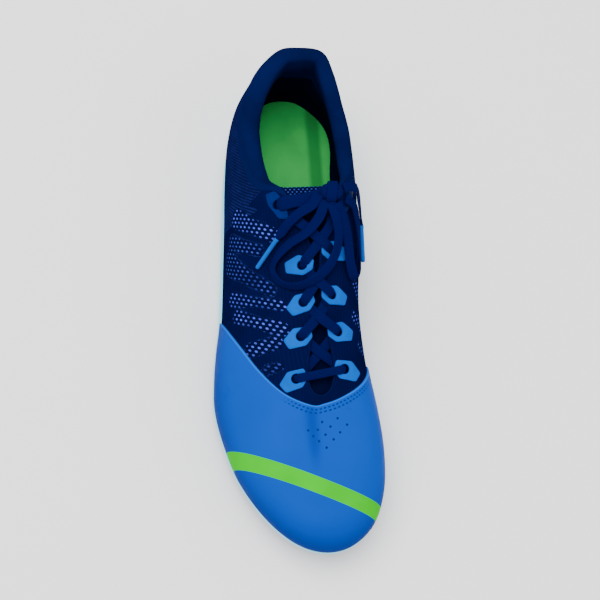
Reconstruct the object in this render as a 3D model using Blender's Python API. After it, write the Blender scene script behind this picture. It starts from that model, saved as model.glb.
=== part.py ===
"""Track spike shoe for the right foot: full lace upper, foam midsole, forefoot spike plate, seven pins.

The frame: +Z up, heel towards +Y, toe towards -Y, outer (lateral) side towards -X, floor at Z = 0.
All sizes are metres. The tables hold shares of the named sizes, a row for each section from toe to heel.
"""
import math
from collections import namedtuple

import bmesh
import bpy
import numpy as np
from mathutils import Matrix, Vector
from mathutils.bvhtree import BVHTree

# Main sizes of the shoe
LENGTH = 0.283
BALL_WIDTH = 0.095
INSTEP_HEIGHT = 0.082
HEEL_HEIGHT = 0.082

# Walls and clearances
GAP = 0.0003
WALL = 0.0018
COLLAR_PAD = 0.0050
OVERLAY_THICK = 0.0008
PATCH_THICK = 0.0006
TONGUE_THICK = 0.0026
TONGUE_FRONT_GAP = 0.0005
TONGUE_DROP = 0.0026
INSOLE_THICK = 0.0030
RIM_ROUND = 0.35

# Sole
BALL_SEAT = 0.0145
TOE_SPRING = 0.0130
HEEL_DROP = 0.0032
FOAM_FORE = 0.0046
PLATE_THICK = 0.0022
PAD_THICK = 0.0032
PAD_BEVEL = 0.0045
SOLE_MARGIN = 0.0012
SOLE_BULGE = 0.0006
PLATE_INSET = 0.0012
PAD_INSET = 0.0020
PLATE_END_ROW = 8.5
PAD_START_ROW = 11.0

# Where the sole's curves start and how far they run, in shoe lengths from the middle, heel positive
TOE_SPRING_START, TOE_SPRING_RUN = -0.24, 0.26
HEEL_DROP_START, HEEL_DROP_RUN = -0.10, 0.50
ARCH_START, ARCH_RUN = 0.04, 0.21
PAD_BEVEL_START, PAD_BEVEL_RUN = 0.42, 0.08

# Half width of the tongue in ball widths: in front, then what it gains over the throat and at its end
TONGUE_HALF, TONGUE_FLARE, TONGUE_END_FLARE = 0.11, 0.07, 0.02

# Spikes
BOSS_RADIUS = 0.0062
BOSS_HEIGHT = 0.0008
BOSS_SINK = 0.6
PIN_LENGTH = BALL_SEAT - FOAM_FORE - GAP - PLATE_THICK - BOSS_HEIGHT - GAP
PIN_FLANGE_RADIUS = 0.0040
PIN_FLANGE_HEIGHT = 0.0014
PIN_FLANGE_CONE = 0.0006
PIN_ROOT_RADIUS = 0.0026
PIN_TIP_RADIUS = 0.0011

# Lacing
EYELET_RADIUS = 0.0024
PATCH_HOLE_RADIUS = 0.0028
HOLE_DEPTH = 0.0120
LACE_WIDTH = 0.0062
LACE_THICK = 0.0012
CORD_RADIUS = 0.0015
AGLET_RADIUS = 0.0012
AGLET_LENGTH = 0.0200
KNOT_SIZE = (0.0130, 0.0110, 0.0072)
LEAD_TUCK = 0.42
CROSSING_REACH = 0.58
CROSSING_TRIM = 0.25

# Mesh counts
COLUMNS_PER_ROW = 3
LEVELS = 9

Outline = namedtuple("Outline", "name lat_x lat_y med_x med_y")
Opening = namedtuple("Opening", "name lat_x lat_y lat_z med_x med_y med_z")
Profile = namedtuple("Profile", "name lat_rise lat_swell lat_reach lat_dip"
                     " med_rise med_swell med_reach med_dip")
Eyelet = namedtuple("Eyelet", "name lat_x lat_y med_x med_y lat_turn med_turn")

# Lower edge of the upper: x in ball widths, y in shoe lengths
OUTLINE = (
    Outline("toe_tip", 0.085, -0.492, 0.085, -0.492),
    Outline("toe_front", -0.075, -0.470, 0.240, -0.485),
    Outline("toe_corner", -0.230, -0.418, 0.379, -0.448),
    Outline("toe_side", -0.362, -0.345, 0.457, -0.388),
    Outline("fore_ball", -0.436, -0.270, 0.482, -0.314),
    Outline("ball", -0.477, -0.200, 0.468, -0.235),
    Outline("stay_4", -0.472, -0.142, 0.416, -0.150),
    Outline("stay_3", -0.450, -0.082, 0.363, -0.065),
    Outline("stay_2", -0.418, -0.020, 0.321, 0.010),
    Outline("stay_1", -0.400, 0.043, 0.300, 0.078),
    Outline("stay_top", -0.385, 0.108, 0.300, 0.137),
    Outline("quarter", -0.368, 0.175, 0.332, 0.212),
    Outline("ankle", -0.345, 0.265, 0.372, 0.290),
    Outline("heel_side", -0.308, 0.347, 0.392, 0.361),
    Outline("heel_quarter", -0.240, 0.426, 0.348, 0.429),
    Outline("heel_corner", -0.105, 0.481, 0.232, 0.478),
    Outline("heel_rear", 0.080, 0.495, 0.080, 0.495),
)

# Upper edge at throat and collar: x in ball widths, y in shoe lengths, z in instep or heel heights
OPENING = (
    Opening("toe_tip", 0.095, -0.2070, 0.695, 0.095, -0.2070, 0.695),
    Opening("toe_front", 0.080, -0.2062, 0.695, 0.111, -0.2062, 0.695),
    Opening("toe_corner", 0.064, -0.2040, 0.698, 0.127, -0.2035, 0.698),
    Opening("toe_side", 0.046, -0.1990, 0.702, 0.146, -0.1980, 0.702),
    Opening("fore_ball", 0.028, -0.1870, 0.713, 0.165, -0.1840, 0.715),
    Opening("ball", 0.019, -0.1570, 0.747, 0.176, -0.1520, 0.752),
    Opening("stay_4", 0.045, -0.0920, 0.823, 0.147, -0.0920, 0.823),
    Opening("stay_3", 0.070, -0.0120, 0.902, 0.118, -0.0140, 0.902),
    Opening("stay_2", 0.066, 0.0620, 0.951, 0.126, 0.0600, 0.951),
    Opening("stay_1", -0.010, 0.1380, 0.995, 0.190, 0.1380, 0.997),
    Opening("stay_top", -0.090, 0.1860, 0.985, 0.275, 0.1900, 0.990),
    Opening("quarter", -0.205, 0.2170, 0.880, 0.347, 0.2330, 0.895),
    Opening("ankle", -0.268, 0.2870, 0.795, 0.373, 0.3040, 0.825),
    Opening("heel_side", -0.273, 0.3580, 0.840, 0.347, 0.3680, 0.850),
    Opening("heel_quarter", -0.198, 0.4290, 0.942, 0.290, 0.4370, 0.942),
    Opening("heel_corner", -0.053, 0.4770, 0.992, 0.224, 0.4755, 0.992),
    Opening("heel_rear", 0.080, 0.4840, 1.000, 0.080, 0.4840, 1.000),
)

# Form of the wall between the two edges: rise and dip are shares of its height, the others of the ball width
PROFILE = (
    Profile("toe_tip", 0.62, 0.020, 0.50, 0.14, 0.62, 0.020, 0.50, 0.14),
    Profile("toe_front", 0.62, 0.020, 0.50, 0.14, 0.62, 0.020, 0.50, 0.13),
    Profile("toe_corner", 0.60, 0.020, 0.46, 0.14, 0.62, 0.020, 0.46, 0.12),
    Profile("toe_side", 0.56, 0.020, 0.40, 0.14, 0.62, 0.020, 0.40, 0.11),
    Profile("fore_ball", 0.52, 0.020, 0.32, 0.13, 0.62, 0.020, 0.30, 0.10),
    Profile("ball", 0.50, 0.020, 0.26, 0.12, 0.62, 0.020, 0.20, 0.08),
    Profile("stay_4", 0.48, 0.020, 0.24, 0.12, 0.56, 0.050, 0.18, 0.08),
    Profile("stay_3", 0.46, 0.022, 0.23, 0.12, 0.50, 0.110, 0.20, 0.09),
    Profile("stay_2", 0.45, 0.024, 0.22, 0.12, 0.44, 0.170, 0.25, 0.12),
    Profile("stay_1", 0.45, 0.026, 0.20, 0.13, 0.40, 0.205, 0.29, 0.15),
    Profile("stay_top", 0.46, 0.028, 0.16, 0.17, 0.40, 0.200, 0.24, 0.22),
    Profile("quarter", 0.46, 0.032, 0.10, 0.30, 0.40, 0.150, 0.13, 0.32),
    Profile("ankle", 0.42, 0.040, 0.06, 0.36, 0.40, 0.085, 0.07, 0.36),
    Profile("heel_side", 0.40, 0.048, 0.05, 0.36, 0.40, 0.060, 0.06, 0.36),
    Profile("heel_quarter", 0.40, 0.050, 0.02, 0.36, 0.40, 0.055, 0.02, 0.36),
    Profile("heel_corner", 0.40, 0.045, -0.01, 0.36, 0.40, 0.045, -0.01, 0.36),
    Profile("heel_rear", 0.40, 0.036, -0.03, 0.36, 0.40, 0.036, -0.03, 0.36),
)

# Lace rows: places as shares, and each patch's turn in degrees
EYELETS = (
    Eyelet("row_4", -0.046, -0.1725, 0.235, -0.1590, 8, 4),
    Eyelet("row_3", -0.010, -0.0950, 0.203, -0.0890, 0, -16),
    Eyelet("row_2", 0.012, -0.0320, 0.175, -0.0200, 6, -10),
    Eyelet("row_1", 0.015, 0.0380, 0.187, 0.0640, -24, -14),
    Eyelet("row_top", -0.104, 0.1585, 0.293, 0.1680, 0, 0),
)

# Corners of a patch round its eyelet on the lateral side: angle in degrees, radius in metres
PATCH_CORNERS = ((42, 0.0066), (131, 0.0060), (187, 0.0094), (224, 0.0090), (297, 0.0058), (352, 0.0062))

# Rear edge of the toe overlay in plan, from lateral to medial: x in ball widths, y in shoe lengths
VAMP_EDGE = (
    (-0.530, -0.020), (-0.455, -0.050), (-0.342, -0.108), (-0.241, -0.158), (-0.115, -0.201),
    (0.033, -0.2255), (0.110, -0.2240), (0.217, -0.2120), (0.359, -0.1850), (0.455, -0.150),
    (0.530, -0.100),
)
VAMP_LEAN = 0.35

# Spike pins: x in ball widths, y in shoe lengths
PINS = (
    ("toe_lateral", -0.110, -0.392), ("toe_medial", 0.275, -0.405), ("fore_lateral", -0.285, -0.295),
    ("fore_medial", 0.375, -0.305), ("ball_lateral", -0.345, -0.165), ("ball_medial", 0.330, -0.195),
    ("ball_middle", 0.020, -0.235),
)

# Cord routes: x in ball widths, y in shoe lengths, height of the cord's middle over the last's top in metres
LOOP_LATERAL = (
    (0.156, 0.1555, 0.0046), (0.118, 0.1240, 0.0050), (0.044, 0.0957, 0.0050), (-0.036, 0.0813, 0.0038),
    (-0.107, 0.0625, 0.0026), (-0.137, 0.0396, 0.0024), (-0.106, 0.0133, 0.0024), (-0.033, -0.0016, 0.0032),
    (0.060, 0.0023, 0.0050), (0.129, 0.0249, 0.0054), (0.185, 0.0593, 0.0052), (0.209, 0.0944, 0.0050),
    (0.198, 0.1240, 0.0052), (0.187, 0.1507, 0.0046),
)
LOOP_MEDIAL = (
    (0.256, 0.1625, 0.0054), (0.312, 0.153, 0.0036), (0.346, 0.122, 0.0026), (0.354, 0.078, 0.0024),
    (0.348, 0.042, 0.0026), (0.326, 0.022, 0.0028), (0.298, 0.022, 0.0032), (0.276, 0.048, 0.0036),
    (0.262, 0.090, 0.0042), (0.240, 0.124, 0.0048), (0.214, 0.1515, 0.0048),
)
END_LATERAL = (
    (0.1260, 0.1657, 0.0052), (0.076, 0.1450, 0.0054), (0.012, 0.1325, 0.0052), (-0.036, 0.1194, 0.0044),
    (-0.074, 0.1070, 0.0030), (-0.114, 0.0918, 0.0022),
)
END_MEDIAL = (
    (0.250, 0.1785, 0.0064), (0.304, 0.188, 0.0056), (0.346, 0.188, 0.0036), (0.382, 0.172, 0.0023),
    (0.400, 0.154, 0.0020), (0.404, 0.136, 0.0019),
)
KNOT_PLACE = (0.200, 0.170, 0.0044)

COLOURS = {
    "upper": ((0.004, 0.012, 0.075), 0.75, 0.0),
    "overlay": ((0.0, 0.21, 0.90), 0.42, 0.0),
    "tongue": ((0.004, 0.020, 0.110), 0.80, 0.0),
    "insole": ((0.06, 0.38, 0.10), 0.85, 0.0),
    "midsole": ((0.30, 0.66, 0.90), 0.60, 0.0),
    "plate": ((0.0, 0.06, 0.42), 0.35, 0.0),
    "outsole": ((0.006, 0.012, 0.050), 0.70, 0.0),
    "pin": ((0.60, 0.60, 0.62), 0.30, 1.0),
    "lace": ((0.002, 0.014, 0.150), 0.85, 0.0),
    "aglet": ((0.02, 0.30, 0.90), 0.30, 0.0),
}

LAST_ROW = len(OUTLINE) - 1
AROUND = 2 * LAST_ROW
THROAT_ROW = 10.0


def smooth(value):
    """Ease a value between 0 and 1."""
    value = min(max(value, 0.0), 1.0)
    return value * value * (3.0 - 2.0 * value)


def blend(values, k):
    """Read a closed series of stations at k with a Catmull-Rom curve."""
    count = len(values)
    i = math.floor(k)
    t = k - i
    p0, p1, p2, p3 = (values[(i + j) % count] for j in (-1, 0, 1, 2))
    return 0.5 * (2 * p1 + (p2 - p0) * t + (2 * p0 - 5 * p1 + 4 * p2 - p3) * t * t
                  + (3 * p1 - p0 - 3 * p2 + p3) * t * t * t)


def stations():
    """Return one row of numbers for each station round the shoe, lateral side first."""
    lateral = [(o.lat_x, o.lat_y, t.lat_x, t.lat_y, t.lat_z, p.lat_rise, p.lat_swell, p.lat_reach, p.lat_dip)
               for o, t, p in zip(OUTLINE, OPENING, PROFILE)]
    medial = [(o.med_x, o.med_y, t.med_x, t.med_y, t.med_z, p.med_rise, p.med_swell, p.med_reach, p.med_dip)
              for o, t, p in zip(OUTLINE, OPENING, PROFILE)]
    return np.array(lateral + medial[-2:0:-1])


STATIONS = stations()


def row_of(k):
    """Return how far station k lies from the toe, in table rows."""
    k = k % AROUND
    return min(k, AROUND - k)


def seat_height(y):
    """Height of the sole's top, on which the upper and the insole stand."""
    share = y / LENGTH
    toe = max(0.0, (TOE_SPRING_START - share) / TOE_SPRING_RUN)
    return BALL_SEAT + TOE_SPRING * toe ** 1.7 + HEEL_DROP * smooth((share - HEEL_DROP_START) / HEEL_DROP_RUN)


def pad_bottom(y):
    """Height of the heel outsole's underside, flat on the floor and bevelled at the rear."""
    return PAD_BEVEL * max(0.0, (y / LENGTH - PAD_BEVEL_START) / PAD_BEVEL_RUN) ** 1.5


def foam_bottom(y):
    """Height of the midsole's underside, from the plate in front to the outsole behind."""
    front = seat_height(y) - FOAM_FORE
    rear = pad_bottom(y) + PAD_THICK + GAP
    return front + (rear - front) * smooth((y / LENGTH - ARCH_START) / ARCH_RUN)


def outline_point(k, grow=0.0):
    """Return x and y on the lower edge at station k, moved outwards by grow, and the outward direction."""
    row = blend(STATIONS, k)
    step = 0.02
    before, after = blend(STATIONS, k - step), blend(STATIONS, k + step)
    tangent = Vector(((after[0] - before[0]) * BALL_WIDTH, (after[1] - before[1]) * LENGTH)).normalized()
    outward = Vector((-tangent.y, tangent.x))
    return Vector((row[0] * BALL_WIDTH, row[1] * LENGTH)) + outward * grow, outward


def wall_point(k, v):
    """Return a point of the upper's outer face: k goes round the shoe, v from the sole to the opening."""
    row = blend(STATIONS, k)
    foot, outward = outline_point(k)
    base = Vector((foot.x, foot.y, seat_height(foot.y) + GAP))
    heel_part = smooth((row_of(k) - 9.5) / 2.5)
    height = row[4] * (INSTEP_HEIGHT + (HEEL_HEIGHT - INSTEP_HEIGHT) * heel_part)
    top = Vector((row[2] * BALL_WIDTH, row[3] * LENGTH, height))
    rise = top.z - base.z
    inward_span = Vector((base.x - top.x, base.y - top.y)) + outward * 0.006
    away = inward_span.normalized()
    low = base + Vector((outward.x * row[6] * BALL_WIDTH, outward.y * row[6] * BALL_WIDTH, row[5] * rise))
    high = top + Vector((away.x * row[7] * BALL_WIDTH, away.y * row[7] * BALL_WIDTH, -row[8] * rise))
    w = 1.0 - v
    return base * w ** 3 + low * (3 * w * w * v) + high * (3 * w * v * v) + top * v ** 3


def wall_frame(k, v):
    """Return a point of the outer face with its outward normal and its upward tangent."""
    dk, dv = 0.02, 0.004
    v0, v1 = max(v - dv, 0.0), min(v + dv, 1.0)
    along = wall_point(k + dk, v) - wall_point(k - dk, v)
    up = wall_point(k, v1) - wall_point(k, v0)
    return wall_point(k, v), up.cross(along).normalized(), up.normalized()


def lifted(k, v, lift):
    """Return a point of the outer face moved along its normal, never below the sole's top."""
    point, normal, _ = wall_frame(k, v)
    moved = point + normal * lift
    moved.z = max(moved.z, seat_height(moved.y) + GAP)
    return moved


def wall_thickness(k, v):
    """Wall of the upper, padded towards the collar."""
    collar = smooth((row_of(k) - 9.6) / 1.8) * smooth((v - 0.45) / 0.45)
    return WALL + COLLAR_PAD * collar


def new_object(name, mesh, colour, collection):
    """Add a mesh as a named object with its own material."""
    item = bpy.data.objects.new(name, mesh)
    collection.objects.link(item)
    shade, roughness, metallic = COLOURS[colour]
    material = bpy.data.materials.new(name)
    material.use_nodes = True
    shader = material.node_tree.nodes["Principled BSDF"]
    shader.inputs["Base Color"].default_value = (*shade, 1.0)
    shader.inputs["Roughness"].default_value = roughness
    shader.inputs["Metallic"].default_value = metallic
    mesh.materials.append(material)
    return item


def finish_mesh(bm, name, crease=35):
    """Turn a closed bmesh into a smooth-shaded mesh with its faces pointing out."""
    bmesh.ops.recalc_face_normals(bm, faces=bm.faces)
    mesh = bpy.data.meshes.new(name)
    bm.to_mesh(mesh)
    bm.free()
    mesh.shade_smooth()
    mesh.set_sharp_from_angle(angle=math.radians(crease))
    return mesh


def bridge_rings(bm, rings, closed=True):
    """Join rings of vertices with quads, from each ring to the next."""
    for lower, upper in zip(rings, rings[1:]):
        count = len(lower)
        for i in range(count if closed else count - 1):
            j = (i + 1) % count
            bm.faces.new((lower[i], lower[j], upper[j], upper[i]))


def ring_of(bm, points):
    """Add a row of vertices."""
    return [bm.verts.new(point) for point in points]


def column_stations():
    """Return the stations of the upper's columns, all the way round."""
    return [i / COLUMNS_PER_ROW for i in range(AROUND * COLUMNS_PER_ROW)]


def level_shares():
    """Return the heights of the upper's levels, from sole to opening."""
    return [j / LEVELS for j in range(LEVELS + 1)]


def upper_mesh():
    """Build the upper as one hollow wall, open underneath and at the throat and collar."""
    bm = bmesh.new()
    ks = column_stations()
    outer = [ring_of(bm, [lifted(k, v, 0.0) for k in ks]) for v in level_shares()]
    rim_points = []
    for k in ks:
        point, normal, up = wall_frame(k, 1.0)
        thick = wall_thickness(k, 1.0)
        rim_points.append(point - normal * thick * 0.5 + up * thick * RIM_ROUND)
    rim = ring_of(bm, rim_points)
    inner = [ring_of(bm, [lifted(k, v, -wall_thickness(k, v)) for k in ks]) for v in reversed(level_shares())]
    for k, vert in zip(ks, inner[-1]):
        vert.co.z = seat_height(vert.co.y) + GAP
    rings = outer + [rim] + inner
    bridge_rings(bm, rings + [outer[0]])
    return finish_mesh(bm, "upper")


def shell_mesh(name, k_start, k_end, v_start, low, high):
    """Build a thin closed shell over part of the upper, between two lifts from its outer face."""
    bm = bmesh.new()
    first = math.ceil(k_start * COLUMNS_PER_ROW)
    last = math.floor(k_end * COLUMNS_PER_ROW)
    ks = [i / COLUMNS_PER_ROW for i in range(first, last + 1)]
    levels = [v for v in level_shares() if v >= v_start]
    under = [ring_of(bm, [lifted(k, v, low) for k in ks]) for v in levels]
    over = [ring_of(bm, [lifted(k, v, high) for k in ks]) for v in levels]
    bridge_rings(bm, under, closed=False)
    bridge_rings(bm, over, closed=False)
    for a, b in ((under[0], over[0]), (under[-1], over[-1])):
        bridge_rings(bm, [a, b], closed=False)
    for side in (0, -1):
        bridge_rings(bm, [[ring[side] for ring in under], [ring[side] for ring in over]], closed=False)
    return finish_mesh(bm, name)


def last_tree():
    """Return the outer face with its throat bridged across, to read heights from."""
    bm = bmesh.new()
    ks = column_stations()
    rings = [ring_of(bm, [wall_point(k, v) for k in ks]) for v in level_shares()]
    bridge_rings(bm, rings)
    top = rings[-1]
    for i in range(1, int(THROAT_ROW * COLUMNS_PER_ROW)):
        j = i + 1
        bm.faces.new((top[i], top[j], top[-j], top[-i]))
    bm.faces.new((top[0], top[1], top[-1]))
    bmesh.ops.recalc_face_normals(bm, faces=bm.faces)
    tree = BVHTree.FromBMesh(bm)
    bm.free()
    return tree


LAST = last_tree()
THROAT_END = OPENING[int(THROAT_ROW)].lat_y * LENGTH - 0.0012


def top_height(x, y):
    """Height of the last's top over x and y, carried straight on past the throat's end."""
    if y > THROAT_END:
        return 2.0 * top_height(x, THROAT_END) - top_height(x, 2.0 * THROAT_END - y)
    hit = LAST.ray_cast(Vector((x, y, 0.3)), Vector((0.0, 0.0, -1.0)))[0]
    return hit.z if hit else 0.0


def top_normal(x, y):
    """Normal of the last's top over x and y, taken over a few millimetres."""
    step = 0.0025
    slope_x = (top_height(x + step, y) - top_height(x - step, y)) / (2 * step)
    slope_y = (top_height(x, y + step) - top_height(x, y - step)) / (2 * step)
    return Vector((-slope_x, -slope_y, 1.0)).normalized()


def on_top(x, y, lift):
    """Return a point over the last's top, lifted along its normal."""
    return Vector((x, y, top_height(x, y))) + top_normal(x, y) * lift


def eyelet_place(row, side):
    """Return x and y of an eyelet: side is -1 for lateral and 1 for medial."""
    if side < 0:
        return row.lat_x * BALL_WIDTH, row.lat_y * LENGTH
    return row.med_x * BALL_WIDTH, row.med_y * LENGTH


def rungs(start_row, end_row, count):
    """Return stations of one sole layer as pairs across the shoe, toe to heel."""
    rows = [start_row + (end_row - start_row) * i / count for i in range(count + 1)]
    return [(row, (AROUND - row) % AROUND) for row in rows]


def layer_mesh(name, start_row, end_row, count, levels):
    """Build one sole layer: each level is an outward growth and a height function."""
    bm = bmesh.new()
    pairs = rungs(start_row, end_row, count)
    point_at_toe = start_row == 0
    point_at_heel = end_row == LAST_ROW
    rings = []
    for grow, height in levels:
        stations_round = [a for a, _ in pairs] + [b for _, b in reversed(pairs)]
        if point_at_heel:
            stations_round.pop(count)
        if point_at_toe:
            stations_round.pop()
        points = []
        for k in stations_round:
            flat, _ = outline_point(k, grow)
            points.append(Vector((flat.x, flat.y, height(flat.y))))
        rings.append(ring_of(bm, points))
    bridge_rings(bm, rings)
    for ring in (rings[0], rings[-1]):
        size = len(ring)
        low = 0
        high = size if point_at_toe else size - 1
        while high - low > 1:
            quad = [ring[low], ring[low + 1], ring[high - 1], ring[high % size]]
            corners = list(dict.fromkeys(quad))
            if len(corners) > 2:
                bm.faces.new(corners)
            low += 1
            high -= 1
    return finish_mesh(bm, name)


def midsole_mesh():
    """Foam midsole: full length, with a rounded side."""
    def middle(y):
        return 0.5 * (seat_height(y) + foam_bottom(y))
    return layer_mesh("midsole", 0, LAST_ROW, 2 * LAST_ROW, (
        (SOLE_MARGIN - SOLE_BULGE, foam_bottom),
        (SOLE_MARGIN + SOLE_BULGE, middle),
        (SOLE_MARGIN, seat_height),
    ))


def insole_mesh():
    """Removable insole on the midsole, inside the upper's wall."""
    inset = -(WALL + 2 * GAP)
    return layer_mesh("insole", 0, LAST_ROW, 2 * LAST_ROW, (
        (inset, lambda y: seat_height(y) + GAP),
        (inset, lambda y: seat_height(y) + GAP + INSOLE_THICK),
    ))


def plate_bottom(y):
    """Height of the spike plate's underside."""
    return foam_bottom(y) - GAP - PLATE_THICK


def plate_mesh():
    """Forefoot plate under the midsole, from the toe to the arch."""
    return layer_mesh("spike_plate", 0, PLATE_END_ROW, 17, (
        (SOLE_MARGIN - SOLE_BULGE - PLATE_INSET, plate_bottom),
        (SOLE_MARGIN - SOLE_BULGE, lambda y: foam_bottom(y) - GAP),
    ))


def outsole_mesh():
    """Rubber heel pad, flat on the floor."""
    return layer_mesh("heel_outsole", PAD_START_ROW, LAST_ROW, 10, (
        (SOLE_MARGIN - SOLE_BULGE - PAD_INSET, lambda y: foam_bottom(y) - GAP - PAD_THICK),
        (SOLE_MARGIN - SOLE_BULGE, lambda y: foam_bottom(y) - GAP),
    ))


def disc_mesh(name, radius, depth, segments=16):
    """Upright cylinder about its own middle."""
    bm = bmesh.new()
    bmesh.ops.create_cone(bm, cap_ends=True, segments=segments, radius1=radius, radius2=radius, depth=depth)
    return finish_mesh(bm, name)


def pin_mesh():
    """Spike pin standing on its tip: a flange, a root and a cone, turned as one piece."""
    bm = bmesh.new()
    profile = (
        (PIN_TIP_RADIUS, 0.0), (PIN_ROOT_RADIUS, PIN_LENGTH - PIN_FLANGE_HEIGHT - PIN_FLANGE_CONE),
        (PIN_FLANGE_RADIUS, PIN_LENGTH - PIN_FLANGE_HEIGHT), (PIN_FLANGE_RADIUS, PIN_LENGTH),
    )
    sides = 8
    rings = []
    for radius, z in profile:
        angles = [2 * math.pi * i / sides for i in range(sides)]
        rings.append(ring_of(bm, [(radius * math.cos(a), radius * math.sin(a), z) for a in angles]))
    bridge_rings(bm, rings)
    bm.faces.new(rings[0])
    bm.faces.new(rings[-1])
    return finish_mesh(bm, "pin")


def tongue_half_width(share):
    """Half width of the tongue: narrow in front, wider at its end."""
    over_throat = TONGUE_FLARE * smooth((share + 0.23) / 0.08)
    at_end = TONGUE_END_FLARE * smooth((share - 0.05) / 0.1)
    return BALL_WIDTH * (TONGUE_HALF + over_throat + at_end)


def tongue_mesh():
    """Tongue under the throat: it follows the last's top, close under the vamp in front."""
    bm = bmesh.new()
    steps, across = 16, 6
    start, end = -0.2320 * LENGTH, 0.1960 * LENGTH
    middle = 0.095 * BALL_WIDTH
    over, under = [], []
    for i in range(steps + 1):
        y = start + (end - start) * i / steps
        half = tongue_half_width(y / LENGTH)
        sunk = smooth((y / LENGTH + 0.205) / 0.045)
        drop = WALL + TONGUE_FRONT_GAP + (TONGUE_DROP - TONGUE_FRONT_GAP) * sunk
        top_row, low_row = [], []
        for j in range(across + 1):
            w = 2.0 * j / across - 1.0
            x = middle + half * w
            slant = top_normal(x, y).z
            z = top_height(x, y) - drop / slant
            edge = 1.0 - 0.55 * w ** 4
            top_row.append((x, y, z))
            low_row.append((x, y, z - TONGUE_THICK * edge / slant))
        over.append(ring_of(bm, top_row))
        under.append(ring_of(bm, low_row))
    bridge_rings(bm, over, closed=False)
    bridge_rings(bm, under, closed=False)
    for a, b in ((over[0], under[0]), (over[-1], under[-1])):
        bridge_rings(bm, [a, b], closed=False)
    for side in (0, -1):
        bridge_rings(bm, [[r[side] for r in over], [r[side] for r in under]], closed=False)
    return finish_mesh(bm, "tongue")


def prism_mesh(name, corners, low, high, lean=0.0, level=0.0):
    """Prism on a plan outline at one level, as a cutter: it leans towards the heel below that level."""
    bm = bmesh.new()
    foot = ring_of(bm, [(x, y + lean * (level - low), low) for x, y in corners])
    head = ring_of(bm, [(x, y + lean * (level - high), high) for x, y in corners])
    bridge_rings(bm, [foot, head])
    bm.faces.new(foot)
    bm.faces.new(head)
    bmesh.ops.triangulate(bm, faces=[f for f in bm.faces if len(f.verts) > 4])
    return finish_mesh(bm, name)


def open_spline(points, count):
    """Read a smooth open curve through points, at count even shares of its length."""
    padded = [2 * points[0] - points[1]] + list(points) + [2 * points[-1] - points[-2]]
    fine = []
    steps = 12
    for i in range(len(points) - 1):
        p0, p1, p2, p3 = padded[i:i + 4]
        for j in range(steps):
            t = j / steps
            fine.append(0.5 * (2 * p1 + (p2 - p0) * t + (2 * p0 - 5 * p1 + 4 * p2 - p3) * t * t
                               + (3 * p1 - p0 - 3 * p2 + p3) * t * t * t))
    fine.append(points[-1])
    lengths = [0.0]
    for a, b in zip(fine, fine[1:]):
        lengths.append(lengths[-1] + float(np.linalg.norm(b - a)))
    result = []
    for i in range(count):
        want = lengths[-1] * i / (count - 1)
        j = min(max(int(np.searchsorted(lengths, want)) - 1, 0), len(fine) - 2)
        share = (want - lengths[j]) / max(lengths[j + 1] - lengths[j], 1e-9)
        result.append(fine[j] + (fine[j + 1] - fine[j]) * share)
    return result


def vamp_corners():
    """Plan outline of everything in front of the toe overlay's rear edge."""
    edge = [np.array((x * BALL_WIDTH, y * LENGTH)) for x, y in VAMP_EDGE]
    curve = open_spline(edge, 41)
    far_x, far_y = 0.7 * BALL_WIDTH, -0.7 * LENGTH
    around = [(far_x, curve[-1][1]), (far_x, far_y), (-far_x, far_y), (-far_x, curve[0][1])]
    return [tuple(p) for p in curve] + around


def patch_corners(row, side):
    """Plan outline of the patch round one eyelet."""
    x, y = eyelet_place(row, side)
    turn = row.lat_turn if side < 0 else row.med_turn
    corners = []
    for angle, radius in PATCH_CORNERS:
        a = math.radians(angle + turn)
        corners.append((x - side * radius * math.cos(a), y + radius * math.sin(a)))
    return corners


def ribbon(bm, centres, normals, width, thick):
    """Sweep a flat lace section along a path of points with their normals."""
    rings = []
    count = len(centres)
    for i in range(count):
        ahead = centres[min(i + 1, count - 1)] - centres[max(i - 1, 0)]
        side = ahead.cross(normals[i]).normalized()
        up = side.cross(ahead).normalized()
        half, edge = width / 2, thick / 2
        section = ((-half, 0), (-half + edge, edge), (half - edge, edge), (half, 0), (half - edge, -edge),
                   (-half + edge, -edge))
        rings.append(ring_of(bm, [centres[i] + side * a + up * b for a, b in section]))
    bridge_rings(bm, rings)
    bm.faces.new(rings[0])
    bm.faces.new(rings[-1])


def crossing_path(start, end, lifts, steps=6):
    """Path between two places over the last, with its lift read along lifts."""
    centres, normals = [], []
    for i in range(steps + 1):
        t = i / steps
        x = start[0] + (end[0] - start[0]) * t
        y = start[1] + (end[1] - start[1]) * t
        position = t * (len(lifts) - 1)
        j = min(int(position), len(lifts) - 2)
        lift = lifts[j] + (lifts[j + 1] - lifts[j]) * smooth(position - j)
        centres.append(on_top(x, y, lift))
        normals.append(top_normal(x, y))
    return centres, normals


LACE_OVER = PATCH_THICK + 3 * GAP + LACE_THICK / 2
LACE_UNDER = -(WALL + 2 * GAP + LACE_THICK / 2)


def ribbon_object(name, path, collection):
    """One lace piece as its own object."""
    bm = bmesh.new()
    ribbon(bm, *path, LACE_WIDTH, LACE_THICK)
    return new_object(name, finish_mesh(bm, name, 60), "lace", collection)


def add_boolean(item, other, operation):
    """Cut or join an object with another one, exactly."""
    step = item.modifiers.new(operation.lower(), "BOOLEAN")
    step.operation = operation
    step.solver = "EXACT"
    step.object = other


def as_cutter(name, mesh, cutters):
    """Add a mesh to the cutters, out of the model."""
    item = bpy.data.objects.new(name, mesh)
    cutters.objects.link(item)
    item.hide_render = True
    item.display_type = "WIRE"
    return item


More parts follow.
